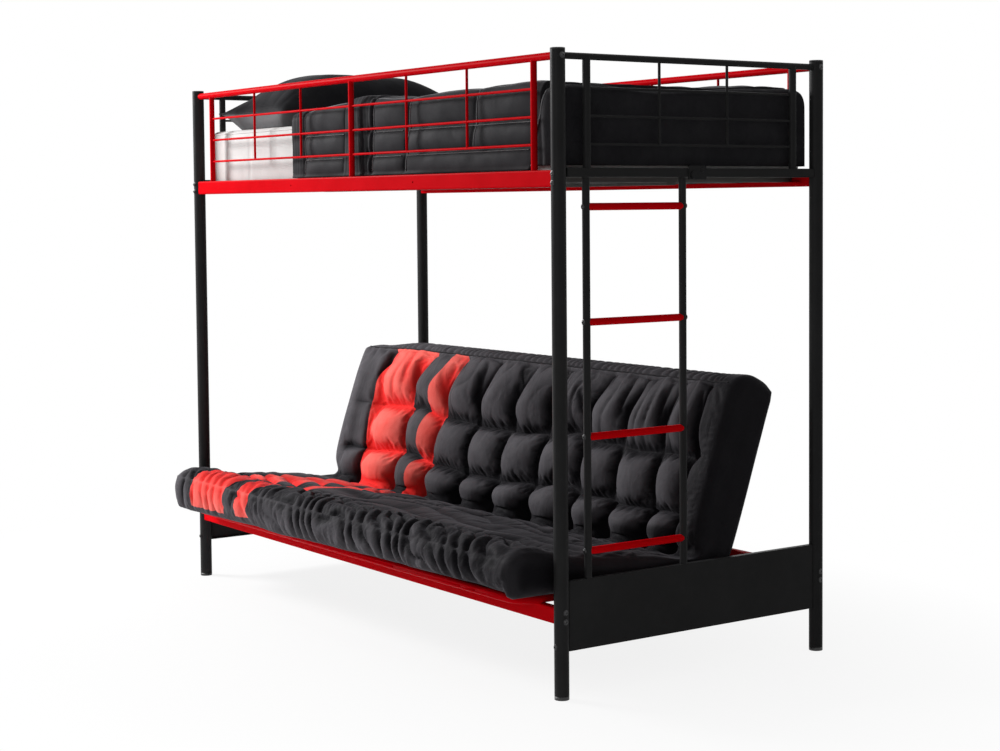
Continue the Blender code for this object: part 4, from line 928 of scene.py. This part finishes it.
def futon():
    """The futon mattress: one sewn cover, drawn in from its fullest section at seams, tufts and gathers."""
    ring, kinds, along, length, crease = futon_section()
    normal = ring_normals(ring)
    up = (ring - HINGE) @ UP_BACK
    front = kinds == 3
    is_back = (kinds == 0) & (along > crease + 0.012)
    is_seat = (kinds == 0) & ~is_back | front

    half, left_round, right_round, column_step = 1.033, 0.055, 0.034, 0.0054
    left_inner, inner = half - left_round, half - right_round
    marks = np.array([-left_inner, *LOW_SEAMS, inner])
    columns = np.concatenate([np.linspace(a, b, round((b - a) / column_step), endpoint=False)
                              for a, b in zip(marks[:-1], marks[1:])] + [[inner]])
    rear = np.flatnonzero(kinds == 2)
    rear_run = lengths(ring[rear])
    rows_at = [float(up[is_back][np.argmin(np.abs(up[is_back] - level))]) for level in BACK_ROWS]

    def seams_at(k):
        if kinds[k] == 2:
            first, second, share = FAN_SEAMS, FRONT_SEAMS, rear_run[k - rear[0]] / rear_run[-1]
        elif kinds[k] == 1 or is_back[k] and up[k] > rows_at[2]:
            first, second, share = HIGH_SEAMS, FAN_SEAMS, ease(up[k], rows_at[2] + 0.07, rows_at[3] + 0.005)
            share = 1.0 if kinds[k] == 1 else share
        elif is_back[k]:
            first, second, share = LOW_SEAMS, HIGH_SEAMS, ease(up[k], rows_at[1], rows_at[2])
        else:
            first, second, share = FRONT_SEAMS, LOW_SEAMS, ease(along[k], 0.10, 0.45)
        inside = np.array(first) + (np.array(second) - np.array(first)) * share
        return np.concatenate([[-left_inner], inside, [inner]])

    x = np.stack([np.interp(columns, marks, seams_at(k)) for k in range(len(ring))], axis=1)
    s, u = np.tile(along, (len(columns), 1)), np.tile(up, (len(columns), 1))
    # Which sewn pocket each line of the cloth is in, and how far across it; the narrow band's left seam is flat
    pockets = np.delete(marks, 3)
    place = np.repeat(np.interp(columns, pockets, np.arange(len(pockets)))[:, None], len(ring), axis=1)
    index = np.floor(place + 1e-6)
    across = np.clip(place - index, 0, 1)
    width = np.diff(pockets)[index.astype(int).clip(0, len(pockets) - 2)]

    # Which row of pockets on the back, and how far up it; both ends of the back are plain
    row = np.clip(np.searchsorted(rows_at, u.ravel() + 1e-6).reshape(u.shape) - 1, 0, 2)
    starts, ends = np.array(rows_at)[row], np.array(rows_at)[row + 1]
    rise = np.clip((u - starts) / (ends - starts), 0, 1)
    plain_end = (1 - ease(-x, 0.80, 0.87)) * (1 - ease(x, 0.945, 0.985))
    across_shape = puff(across, 0.72)
    back_sink = back_depth(x, u, place, index, across, width, row, rise, ends - starts, across_shape, plain_end)
    seat_sink = seat_depth(x, s, crease, across_shape)
    ends_fade = 1 - ease(np.abs(x), inner - 0.085, inner - 0.005)
    sink = np.where(is_back, back_sink, np.where(is_seat, seat_sink, 0.0))
    # Top gusset: small puckers square to the seam
    gusset = kinds == 1
    pucker_top = (folds(x / 0.032 + 0.8 * drift(x * 10, 0 * x, 61), 0.8) - 0.6) * 0.0060
    sink = np.where(gusset, 0.005 - pucker_top, sink)
    sink = sink + 0.006 * hill(np.arange(len(ring)) - np.flatnonzero(gusset)[0], 1.2)
    # Keep the crease, the front hem and the two seams in place
    hold = 1 - 0.8 * hill(along - crease, 0.012) * (kinds == 0)
    hold[(np.roll(kinds, -1) != kinds) | (np.roll(kinds, 1) != kinds)] *= 0.35
    sink = sink * hold * np.where(kinds == 2, 0, 1) * ends_fade
    yz = ring - normal * sink[:, :, None]
    # The rows wander a little up and down along the back
    wander = 0.016 * drift(x * 3.3, 0 * u, 11) + 0.008 * drift(x * 9, 0 * u, 18)
    wander = wander * ease(u, 0.03, 0.10) * (1 - ease(u, 0.38, 0.50)) * is_back
    yz = yz + UP_BACK * wander[:, :, None]
    # The front hem lifts a little off the frame towards the right
    hem = (1 - ease(ring[:, 1], 0.285, 0.350)) * ease(-ring[:, 0], 0.50, 0.575)
    hem_lift = np.interp(x, (-1.0, -0.6, -0.2, 0.3, 0.7, 1.0), (-0.010, -0.006, -0.002, 0.008, 0.018, 0.016))
    yz[:, :, 1] += hem * (hem_lift + 0.004 * drift(x * 7, 0 * x, 62))
    # The top edge falls away towards the left end
    drop = ease(-x, 0.68, 1.0) * ease(u, 0.49, 0.55) * TOP_FALL
    yz = yz - UP_BACK * drop[:, :, None]

    # Ends: a rounded shoulder, then a flat boxed face
    spine = closing_line(ring, kinds, along, length, crease)
    left_cap, right_cap = (
        end_rows(ring, spine, half, round_end, np.linspace(0.18, math.pi / 2, 7), (0.25, 0.5, 0.75, 0.92, 1.0))
        for round_end in (left_round, right_round))
    fallen = -UP_BACK * (ease(up, 0.49, 0.55) * TOP_FALL)[:, None]
    full = [(-a, b + fallen * outer) for a, b, outer in reversed(left_cap)]
    full += list(zip(x, yz)) + [(a, b) for a, b, _ in right_cap]
    made = piece("futon_mattress", swept(full), grid_faces(len(full), len(ring)), TWILL)

    # The cloth's own coordinate, so that the bands keep to their seams and run down to the front hem
    side_count = len(left_cap)
    cloth_x = np.concatenate([[-1.0] * side_count, columns, [1.0] * side_count])
    lay = np.repeat(cloth_x[:, None], len(ring), axis=1)
    shown = np.repeat(((kinds == 0) | (front & (along > -0.085))).astype(float)[None, :], len(full), axis=0)
    # Where the filling can't push the cover out: seams, tufts, the underside and the boxed ends
    held = np.zeros_like(lay)
    body = held[side_count:-side_count]
    near_seam = np.minimum(across, 1 - across) * width
    near_row = np.minimum(np.abs(u - rows_at[1]), np.abs(u - rows_at[2]))
    on_seams = (near_seam < 0.0020) & (u < rows_at[2] + 0.05) | (near_row < 0.0020)
    tufts = (near_seam < 0.03) & (near_row < 0.010)
    body[is_back & (on_seams | tufts) & (plain_end > 0.3)] = 1.0
    drawn_line = np.abs(s - 0.165 - 0.02 * drift(x * 3, 0 * s, 44)) < 0.003
    drawn_line &= np.minimum(across, 1 - across) < 0.22
    body[is_seat & ((s > crease - 0.16) & (near_seam < 0.0020) | drawn_line)] = 1.0
    fixed = (kinds == 2) | ((kinds == 0) & (np.abs(along - crease) < 0.006)) | (front & (along < -0.105))
    fixed |= (np.roll(kinds, 1) != kinds) | (kinds == 1)
    body[:, fixed] = 1.0
    held[:side_count] = held[-side_count:] = 1.0
    for label, values in (("cloth_x", lay), ("show_side", shown), ("held", held)):
        note(made, label, values)
    weld(made, 1e-5)
    stuff(made, grow=0.035, pressure=3.0, most=0.010, frames=14, stiffness=(12.0, 10.0, 4.0, 0.4))

    def away_from_light(points):
        """Painted shade: the cloth is coloured darker towards the right end, on the seat sooner than on the back, and
        the seat and its rolled front are painted darker overall.
        """
        on_seat = 1 - ease(points[:, 2] + 0.3 * points[:, 1], 0.37, 0.43)
        dimmed = 1 - (0.87 - 0.20 * on_seat) * ease(points[:, 0] + 0.25 * on_seat, 0.84, 0.97)
        on_roll = on_seat * ease(-points[:, 1], 0.32, 0.42)
        return 0.0035 * on_seat + 0.0070 * on_roll, dimmed * (1 - 0.15 * on_seat)

    # Painted shade and light on the futon: darker in its creases, paler on its puffs.
    paint_crease_shade(made, rounds=60, low=-0.0058, high=0.0078, shadow=away_from_light)

    # Piping along the two top seams
    seams = []
    for k in (int(np.flatnonzero(kinds == 1)[0]), int(np.flatnonzero(kinds == 2)[0])):
        edge = yz[:, k] + normal[k] * 0.0008
        seams.append(([(c, p[0] + AXES_Y, p[1]) for c, p in zip(x[::3, k], edge[::3])], False))
    piping = tubes("futon_piping", 0.0024, seams, PIPING, 8)
    # The piping gets fixed values, among them a painted light level of 0.3, a painted shade.
    for label, fill_value in (("cloth_x", 0.9), ("show_side", 0.0), ("raised", 0.3)):
        note(piping, label, [fill_value] * len(piping.data.vertices))
    made = join("futon_mattress", [made, piping])
    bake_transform(made)
    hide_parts("seat_mattress", "back_mattress")
    return made


futon()


def rounded_box_ring(half, low, high, radius, step):
    """A rounded rectangle in Y and Z, from its lower front corner round to the same corner again."""
    knots = quarter_turns(((half - radius, low + radius, -90), (half - radius, high - radius, 0),
                           (radius - half, high - radius, 90), (radius - half, low + radius, 180)), radius, 9)
    knots = np.array(knots + knots[:1])
    return evenly(knots, int(lengths(knots)[-1] / step), closed=True)


def upper_mattress():
    half_x, half_y, low, high, round_end, corner = 1.0298, 0.4298, 1.3868, 1.5768, 0.014, 0.026
    inner = half_x - round_end
    ring = rounded_box_ring(half_y, low, high, 0.024, 0.010)
    normal = ring_normals(ring)
    columns = np.linspace(-inner, inner, 210)
    x, k = np.meshgrid(columns, np.arange(len(ring)), indexing="ij")
    y, z = ring[k, 0], ring[k, 1]
    on_top = np.clip((z - (high - 0.004)) / 0.004, 0, 1)
    on_side = np.clip((np.abs(y) - (half_y - 0.004)) / 0.004, 0, 1)
    sink = on_top * (0.0015 * (1 - puff(((x + 1.03) / 0.29) % 1, 0.5) * puff(((y + 0.43) / 0.215) % 1, 0.5)))
    sink += on_side * 0.0003 * (1 + drift(x * 5, z * 20, 81))
    sink += on_side * 0.0035 * hill(x + 0.742, 0.004)
    yz = ring - normal * sink[:, :, None]
    spine = np.stack([np.clip(ring[:, 0], 0.1 - half_y, half_y - 0.1), np.full(len(ring), (low + high) / 2)], axis=1)
    caps = end_rows(ring, spine, half_x, round_end, np.linspace(0.2, math.pi / 2, 6), (0.3, 0.6, 0.85, 1.0))
    full = [(-a, b) for a, b, _ in reversed(caps)] + list(zip(columns, yz)) + [(a, b) for a, b, _ in caps]
    pad = weld(piece("upper_mattress_pad", swept(full), grid_faces(len(full), len(ring)), TICKING))
    loops = []
    for z in (low + 0.012, high - 0.012):
        reach_x, reach_y = half_x - 0.003 - corner, half_y - 0.003 - corner
        outline = quarter_turns(((reach_x, -reach_y, -90), (reach_x, reach_y, 0),
                                 (-reach_x, reach_y, 90), (-reach_x, -reach_y, 180)), corner, 7)
        loops.append(([bed(a, b, z) for a, b in outline], True))
    edge = tubes("mattress_piping", 0.0030, loops, TICKING, 8)
    made = join("upper_mattress_pad", [pad, edge])
    fit(made, "bed", "white_ticking", "upper_mattress")
    return made


QUILT_LEFT, QUILT_RIGHT, QUILT_HEM, SLANT = -0.4180, 0.9052, 1.4042, 0.30
QUILT_COLUMNS = (QUILT_LEFT, -0.340, -0.085, 0.055, 0.075, 0.262, 0.605, QUILT_RIGHT)
QUILT_ROWS = (1.467, 1.541)


def quilt():
    top, half, corner = 1.612, 0.4488, 0.026
    outer = arch(half, QUILT_HEM, top - corner, corner, 40, 150)
    count = len(outer)
    within, under = 0.4318, 1.5788
    inner = [(within, QUILT_HEM), (within, 1.49), (within, under), (0.2, under), (-0.2, under),
             (-within, under), (-within, 1.49), (-within, QUILT_HEM)]
    ring = np.array(outer + inner)
    run = lengths(ring[:count])
    normal = np.vstack([line_normals(ring[:count]), np.zeros((len(inner), 2))])
    side = run[39]
    row_marks = [0] + [z - QUILT_HEM for z in QUILT_ROWS] + [side + 0.035]
    across_top = np.linspace(side + 0.035, run[-1] - side - 0.035, 12)
    marks = np.array(row_marks + list(across_top[1:]) + [run[-1] - m for m in row_marks[:3][::-1]])
    shares = np.linspace(0, 1, 250)
    share, k = np.meshgrid(shares, np.arange(len(ring)), indexing="ij")
    z = ring[k, 1]
    right = QUILT_RIGHT + SLANT * (z - QUILT_HEM)
    x = QUILT_LEFT + share * (right - QUILT_LEFT)
    s = np.where(k < count, run[np.minimum(k, count - 1)], 0)
    place = np.interp(s, marks, np.arange(len(marks)))
    row, rise = np.floor(place), place - np.floor(place)
    wave = 0.004 * drift(x * 5, s * 6, 91)
    flat_x = QUILT_LEFT + share * (QUILT_RIGHT - QUILT_LEFT)
    col_place = np.interp(flat_x + wave, QUILT_COLUMNS, np.arange(len(QUILT_COLUMNS)))
    col, across = np.floor(col_place), col_place - np.floor(col_place)
    pocket = puff(across, 0.34) * puff(rise, 0.44)
    band = (col == 0) | (col == 2)
    seam_depth = np.where(band, 0.004, 0.0155)
    pocket = np.where(band, puff(across, 0.3), pocket)
    long_row = (row == 0) & (col >= 5)
    along_row = np.clip((flat_x - QUILT_COLUMNS[5]) / (QUILT_RIGHT - QUILT_COLUMNS[5]), 0, 1)
    pocket = np.where(long_row, puff(rise, 0.30) * puff(along_row, 0.2), pocket)
    sink = seam_depth * (1 - pocket) - 0.0012 + 0.0016 * drift(x * 9, s * 14, 92) + 0.0010 * drift(x * 22, s * 30, 93)
    sink += np.where(band, 0.003 + 0.0014 * (folds(x / 0.019 + 0.6 * drift(x * 12, s * 4, 94), 1) < 0.5), 0)
    hump = hill(x - 0.04, 0.10)
    lift = np.interp(x, (-0.42, -0.25, -0.10, 0.0, 0.20, 0.90), (0.006, 0.016, 0.026, 0.028, 0.024, 0.036))
    lift = (lift + 0.009 * hump) * np.clip((z - 1.56) / 0.05, 0, 1)
    lift = lift + 0.006 * np.clip((s - side) / 0.1, 0, 1) * drift(x * 3, s * 4, 95)
    edge_fade = np.clip(np.minimum(share, 1 - share) / 0.006, 0, 1)
    sink = sink * edge_fade * np.clip(np.minimum(s, run[-1] - s) / 0.01, 0.2, 1)
    outside = k < count
    # Rolled edges at both ends: the outside turns in to meet the lining
    turn = np.clip(1 - np.minimum(share, 1 - share) / 0.009, 0, 1)
    roll = 0.007 * (1 - np.sqrt(np.clip(1 - turn ** 2, 0, 1)))
    drawn_in = np.where(outside, sink + roll, 0)
    y_new = ring[k, 0] - normal[k, 0] * drawn_in
    z_new = ring[k, 1] - normal[k, 1] * drawn_in + np.where(outside, lift * (z > 1.5), 0)
    points = np.stack([x, y_new + AXES_Y, z_new], axis=-1)
    faces = list(map(tuple, grid_faces(len(shares), len(ring))))
    # Close both ends between the outside and the lining
    total = len(ring)
    inner_index = [count + i for i in range(len(inner))][::-1]
    for base, flip in ((0, False), ((len(shares) - 1) * total, True)):
        lining = np.round(np.linspace(0, len(inner) - 1, count)).astype(int)
        for i in range(count - 1):
            a, b = base + i, base + i + 1
            c, d = base + inner_index[lining[i + 1]], base + inner_index[lining[i]]
            quad = (a, b, c) if c == d else (a, b, c, d)
            faces.append(quad if flip else tuple(reversed(quad)))
    body = weld(piece("upper_quilt_cover", points.reshape(-1, 3), faces, QUILT))
    # Painted shade down in the quilt's grooves, paler on its pockets.
    paint_crease_shade(body, rounds=14, low=-0.0016, high=0.0012)

    # Piping sewn along the pockets' left and top edges, in pale grey: partly real piping, partly a painted highlight
    # where light catches those edges.
    def on_cover(x_at, s_at):
        ki = int(np.clip(np.searchsorted(run, s_at), 0, count - 1))
        flat = (x_at - QUILT_LEFT) / (QUILT_RIGHT - QUILT_LEFT)
        si = int(np.clip(round(flat * (len(shares) - 1)), 1, len(shares) - 2))
        p = points[si, ki]
        return (p[0], p[1] + normal[ki, 0] * 0.0012, p[2] + normal[ki, 1] * 0.0012)

    runs = []
    for mark in marks[1:-1]:
        at = mark - 0.0075 if mark < side + 0.05 else mark
        for first, last in ((1, 2), (4, 5), (5, 7)):
            reach = np.arange(QUILT_COLUMNS[first] + 0.012, QUILT_COLUMNS[last] - 0.010, 0.012)
            runs.append(([on_cover(v, at) for v in reach], False))
    for column in (1, 4, 5, 6):
        margin = (row_marks[1] if column == 6 else 0.0) + 0.008
        reach = np.arange(margin, run[-1] - margin, 0.010)
        runs.append(([on_cover(QUILT_COLUMNS[column] + 0.0085, v) for v in reach], False))
    edge = tubes("quilt_piping", 0.0013, runs, PALE_PIPING_AND_HIGHLIGHT, 6)
    made = join("upper_quilt_cover", [body, edge])
    fit(made, "bed", "charcoal_quilting", "upper_quilt")
    return made


def throw():
    """A folded throw laid over the foot of the mattress and tucked down inside the rails."""
    half, hem, corner, end, level = 0.4482, 1.4150, 0.050, 1.0435, 1.63
    top_marks_y = (-0.45, -0.30, -0.12, 0.06, 0.245, 0.45)
    top_marks_z = (1.632, 1.637, 1.621, 1.631, 1.643, 1.640)
    section = np.array(arch(half, hem, level - corner, corner, 34, 110))
    count = len(section)
    normal = line_normals(section)
    height = np.interp(section[:, 0], top_marks_y, top_marks_z) - level
    shoulder = 0.020
    rows, place = [], []
    for share in np.linspace(0, 1, 34):
        left = QUILT_RIGHT + 0.003 + SLANT * (section[:, 1] - QUILT_HEM)
        x = left + share * (end - shoulder - left)
        rows.append(np.stack([x, section[:, 0], section[:, 1]], axis=1))
        place.append(share)
    for angle in np.linspace(0.25, math.pi / 2, 6):
        x = np.full(count, end - shoulder + shoulder * math.sin(angle))
        inset = shoulder * (1 - math.cos(angle))
        rows.append(np.stack([x, section[:, 0] - normal[:, 0] * inset, section[:, 1] - normal[:, 1] * inset], axis=1))
        place.append(1)
    base = rows[-1]
    for part in np.linspace(0.03, 1.0, 34):
        y = base[:, 1] * (1 - part)
        z = hem + (base[:, 2] - hem) * (1 - part)
        rows.append(np.stack([np.full(count, end), y, z], axis=1))
        place.append(1 + part)
    points = np.array(rows)
    place = np.array(place)[:, None]
    x, y, z = points[..., 0], points[..., 1], points[..., 2]
    upper = np.clip((z - 1.56) / 0.07, 0, 1)
    z_new = z + height * upper
    on_side = np.clip((np.abs(y) - (half - 0.012)) / 0.012, 0, 1) * (place <= 1)
    fold = 0.0042 * (folds(x / 0.034 + 0.5 * drift(x * 8, z * 7, 101), 0.8) - 0.5)
    fold *= np.clip((1.60 - z) / 0.08, 0.1, 1)
    y_new = y - np.sign(y) * on_side * np.clip(0.003 - fold, 0, 0.01)
    on_end = (place > 1) * np.clip((place - 1) / 0.08, 0, 1)
    layers = 0.0035 * hill(z - 1.545, 0.0035) + 0.0035 * hill(z - 1.477, 0.0035)
    soft = 0.0018 * (1 + drift(y * 6, z * 16, 102)) + 0.0012 * (1 + drift(y * 20, z * 24, 103))
    x_new = x - on_end * np.clip(layers + soft, 0, 0.010)
    top = np.clip((z - 1.615) / 0.01, 0, 1) * (place <= 1)
    z_new = z_new - top * (0.0035 * (1 + drift(x * 14, y * 7, 104)) + 0.0025 * (1 + drift(x * 5, y * 17, 105)))
    points = np.stack([x_new, y_new + AXES_Y, z_new], axis=-1).reshape(-1, 3)
    made = weld(piece("throw_blanket", points, open_grid(len(rows), count), THROW))
    if sum(p.normal.z * p.area for p in made.data.polygons) < 0:
        made.data.flip_normals()
    thick = made.modifiers.new("cloth", "SOLIDIFY")
    thick.thickness = 0.0045
    thick.offset = -1
    graph = bpy.context.evaluated_depsgraph_get()
    solid = bpy.data.meshes.new_from_object(made.evaluated_get(graph))
    made.modifiers.clear()
    made.data = solid
    rounded(solid)
    edge_points = [(float(p[0]) + 0.001, float(p[1]), float(p[2])) for p in points[:count:2]]
    hem_cord = tubes("throw_hem", 0.0019, [(edge_points, False)], PALE_PIPING_AND_HIGHLIGHT, 6)
    fit(hem_cord, "bed", "black_throw_cloth")
    fit(made, "bed", "black_throw_cloth", "bed_throw")
    return made


def pillow():
    left, right, front, back, rest = -0.988, -0.530, -0.419, 0.349, 1.5776
    seam_height, full_height, tallest = 0.054, 0.1925, 1.7722
    rows, cols = 96, 128
    a = np.sin(np.linspace(-math.pi / 2, math.pi / 2, rows))[:, None] * np.ones((1, cols))
    b = np.sin(np.linspace(-math.pi / 2, math.pi / 2, cols))[None, :] * np.ones((rows, 1))
    half_x, half_y = (right - left) / 2, (back - front) / 2
    middle_x, middle_y = (left + right) / 2, (front + back) / 2
    x = middle_x + half_x * a * (1 - 0.085 * (1 - b ** 2) * np.abs(a) ** 1.5)
    y = middle_y + half_y * b * (1 - 0.060 * (1 - a ** 2) * np.abs(b) ** 1.5)
    skewed = a - 0.20 * (1 - a ** 2)
    crown = (1 - np.abs(skewed) ** 2.6) ** 0.72 * (1 - np.abs(b) ** 2.6) ** 0.60
    seam = seam_height + 0.006 * a * b
    high = seam + (full_height - seam) * crown
    low = np.clip(seam - 0.150 * np.minimum(1, crown * 1.5), 0.0, None)
    edge = np.clip((1 - crown) * 1.15, 0, 1)
    spokes = np.arctan2(y - middle_y, x - middle_x)
    pull = np.abs(np.sin(spokes * 15 + 2.2 * drift(x * 6, y * 6, 111))) ** 0.8 - 0.5
    pull = 0.0045 * pull * edge ** 1.5 * (crown > 0.02)
    dents = 0.006 * drift(x * 6, y * 5, 112) + 0.0022 * drift(x * 17, y * 15, 113)
    top = rest + high + (dents + pull) * np.clip(crown * 3, 0, 1)
    top = np.minimum(top, tallest)
    bottom = rest + low
    points = np.concatenate([np.stack([x, y + AXES_Y, z], axis=-1).reshape(-1, 3) for z in (top, bottom)])
    quads = open_grid(rows, cols)
    faces = np.concatenate([quads, quads[:, ::-1] + rows * cols])
    body = piece("pillow_cover", points, faces, PILLOWCASE)
    note(body, "underside", np.repeat([0.0, 1.0], rows * cols))
    body = weld(body, 2e-5)
    ringed = [(x[i, 0], y[i, 0]) for i in range(rows)] + [(x[-1, j], y[-1, j]) for j in range(1, cols)]
    ringed += [(x[i, -1], y[i, -1]) for i in range(rows - 2, -1, -1)]
    ringed += [(x[0, j], y[0, j]) for j in range(cols - 2, 0, -1)]
    loop = [(px, py + AXES_Y, rest + seam_height + 0.006 * ((px - middle_x) / half_x) * ((py - middle_y) / half_y))
            for px, py in ringed]
    cord = tubes("pillow_piping", 0.0022, [(loop[::2], True)], PIPING, 8)
    made = join("pillow_cover", [body, cord])
    fit(made, "bed", "dark_pillow_cloth", "pillow")
    return made


upper_mattress()
quilt()
throw()
pillow()


# Stage ------------------------------------------------------------------------------------------


def seen_itself(tree, near, far, share=None):
    """The far shader where the camera or a mirror looks at it, the near one for the light that it gives."""
    rays = add(tree, "LightPath")
    seen = maths(tree, "MAXIMUM", rays.outputs["Is Camera Ray"],
                 maths(tree, "MAXIMUM", rays.outputs["Is Glossy Ray"], rays.outputs["Is Transmission Ray"]))
    if share is not None:
        seen = maths(tree, "MULTIPLY", share, seen)
    return add(tree, "MixShader", {0: seen, 1: near, 2: far}).outputs["Shader"]


def stage():
    made, tree, shader = new_finish("pale_floor")
    where = add(tree, "TexCoord").outputs["Object"]
    grain = mottle(tree, where, 30.0, 4.0)
    give(tree, shader, {"Base Color": tone(tree, spread(tree, grain, 0, 1), (0.83, 0.83, 0.83), (0.86, 0.86, 0.86)),
                        "Roughness": 0.8})
    out = next(n for n in tree.nodes if n.type == "OUTPUT_MATERIAL")
    glow = add(tree, "Emission", {"Color": (1, 1, 1, 1), "Strength": 1.0})
    squeezed = add(tree, "Mapping", {"Vector": where, "Scale": (0.62, 1.0, 0)}).outputs["Vector"]
    distance = add(tree, "VectorMath", {0: squeezed}, operation="LENGTH").outputs["Value"]
    away = spread(tree, distance, 0.86, 1.0, 0.5, 1.6)
    feed(tree, out.inputs["Surface"], seen_itself(tree, shader.outputs["BSDF"], glow.outputs["Emission"], away))
    reach = 14
    floor = piece("floor", [(-reach, -reach, 0), (reach, -reach, 0), (reach, reach, 0), (-reach, reach, 0)],
                  [(0, 1, 2, 3)], made, smooth=False)

    world = bpy.data.worlds.new("studio")
    bpy.context.scene.world = world
    world.use_nodes = True
    tree = world.node_tree
    tree.nodes.clear()
    out = tree.nodes.new("ShaderNodeOutputWorld")
    shown = add(tree, "Background", {"Color": (1, 1, 1, 1), "Strength": 1.0})
    lit = add(tree, "Background", {"Color": (1, 1, 1, 1), "Strength": 0.09})
    feed(tree, out.inputs["Surface"], seen_itself(tree, lit.outputs["Background"], shown.outputs["Background"]))

    def softbox(name, at, aim, size, power):
        lamp = bpy.data.lights.new(name, "AREA")
        lamp.shape = "RECTANGLE"
        lamp.size, lamp.size_y = size
        lamp.energy = power
        holder = stood(name, lamp)
        holder.location = at
        holder.rotation_euler = (Vector(aim) - Vector(at)).to_track_quat("-Z", "Y").to_euler()

    softbox("key_softbox", (-3.5, -2.3, 2.7), (-0.1, 0, 0.7), (1.3, 1.2), 270)
    softbox("fill_softbox", (3.0, -4.8, 2.0), (0.3, 0, 0.8), (2.2, 2.2), 24)
    softbox("top_softbox", (0, 0.2, 4.4), (0, 0, 0), (4.0, 3.0), 30)


def camera():
    yaw, pitch, roll = 0.961681, 0.056227, -0.008736
    look = Vector((-math.sin(yaw) * math.cos(pitch), math.cos(yaw) * math.cos(pitch), -math.sin(pitch)))
    right = Vector((math.cos(yaw), math.sin(yaw), 0))
    up = right.cross(look)
    level_right = right * math.cos(roll) + up * math.sin(roll)
    level_up = -right * math.sin(roll) + up * math.cos(roll)
    lens = bpy.data.cameras.new("photo_camera")
    lens.lens, lens.sensor_width = 67.93, 36.0
    lens.sensor_fit = "HORIZONTAL"
    lens.shift_x, lens.shift_y = 0.0, -0.0655
    holder = stood("photo_camera", lens)
    turn = Matrix((level_right, level_up, -look)).transposed().to_4x4()
    holder.matrix_world = Matrix.Translation((5.02536, -3.35706, 1.31471)) @ turn
    bpy.context.scene.camera = holder


stage()
camera()
bpy.context.scene.view_settings.view_transform = "Standard"
bpy.data.objects.remove(HEAD)
bpy.context.view_layer.update()
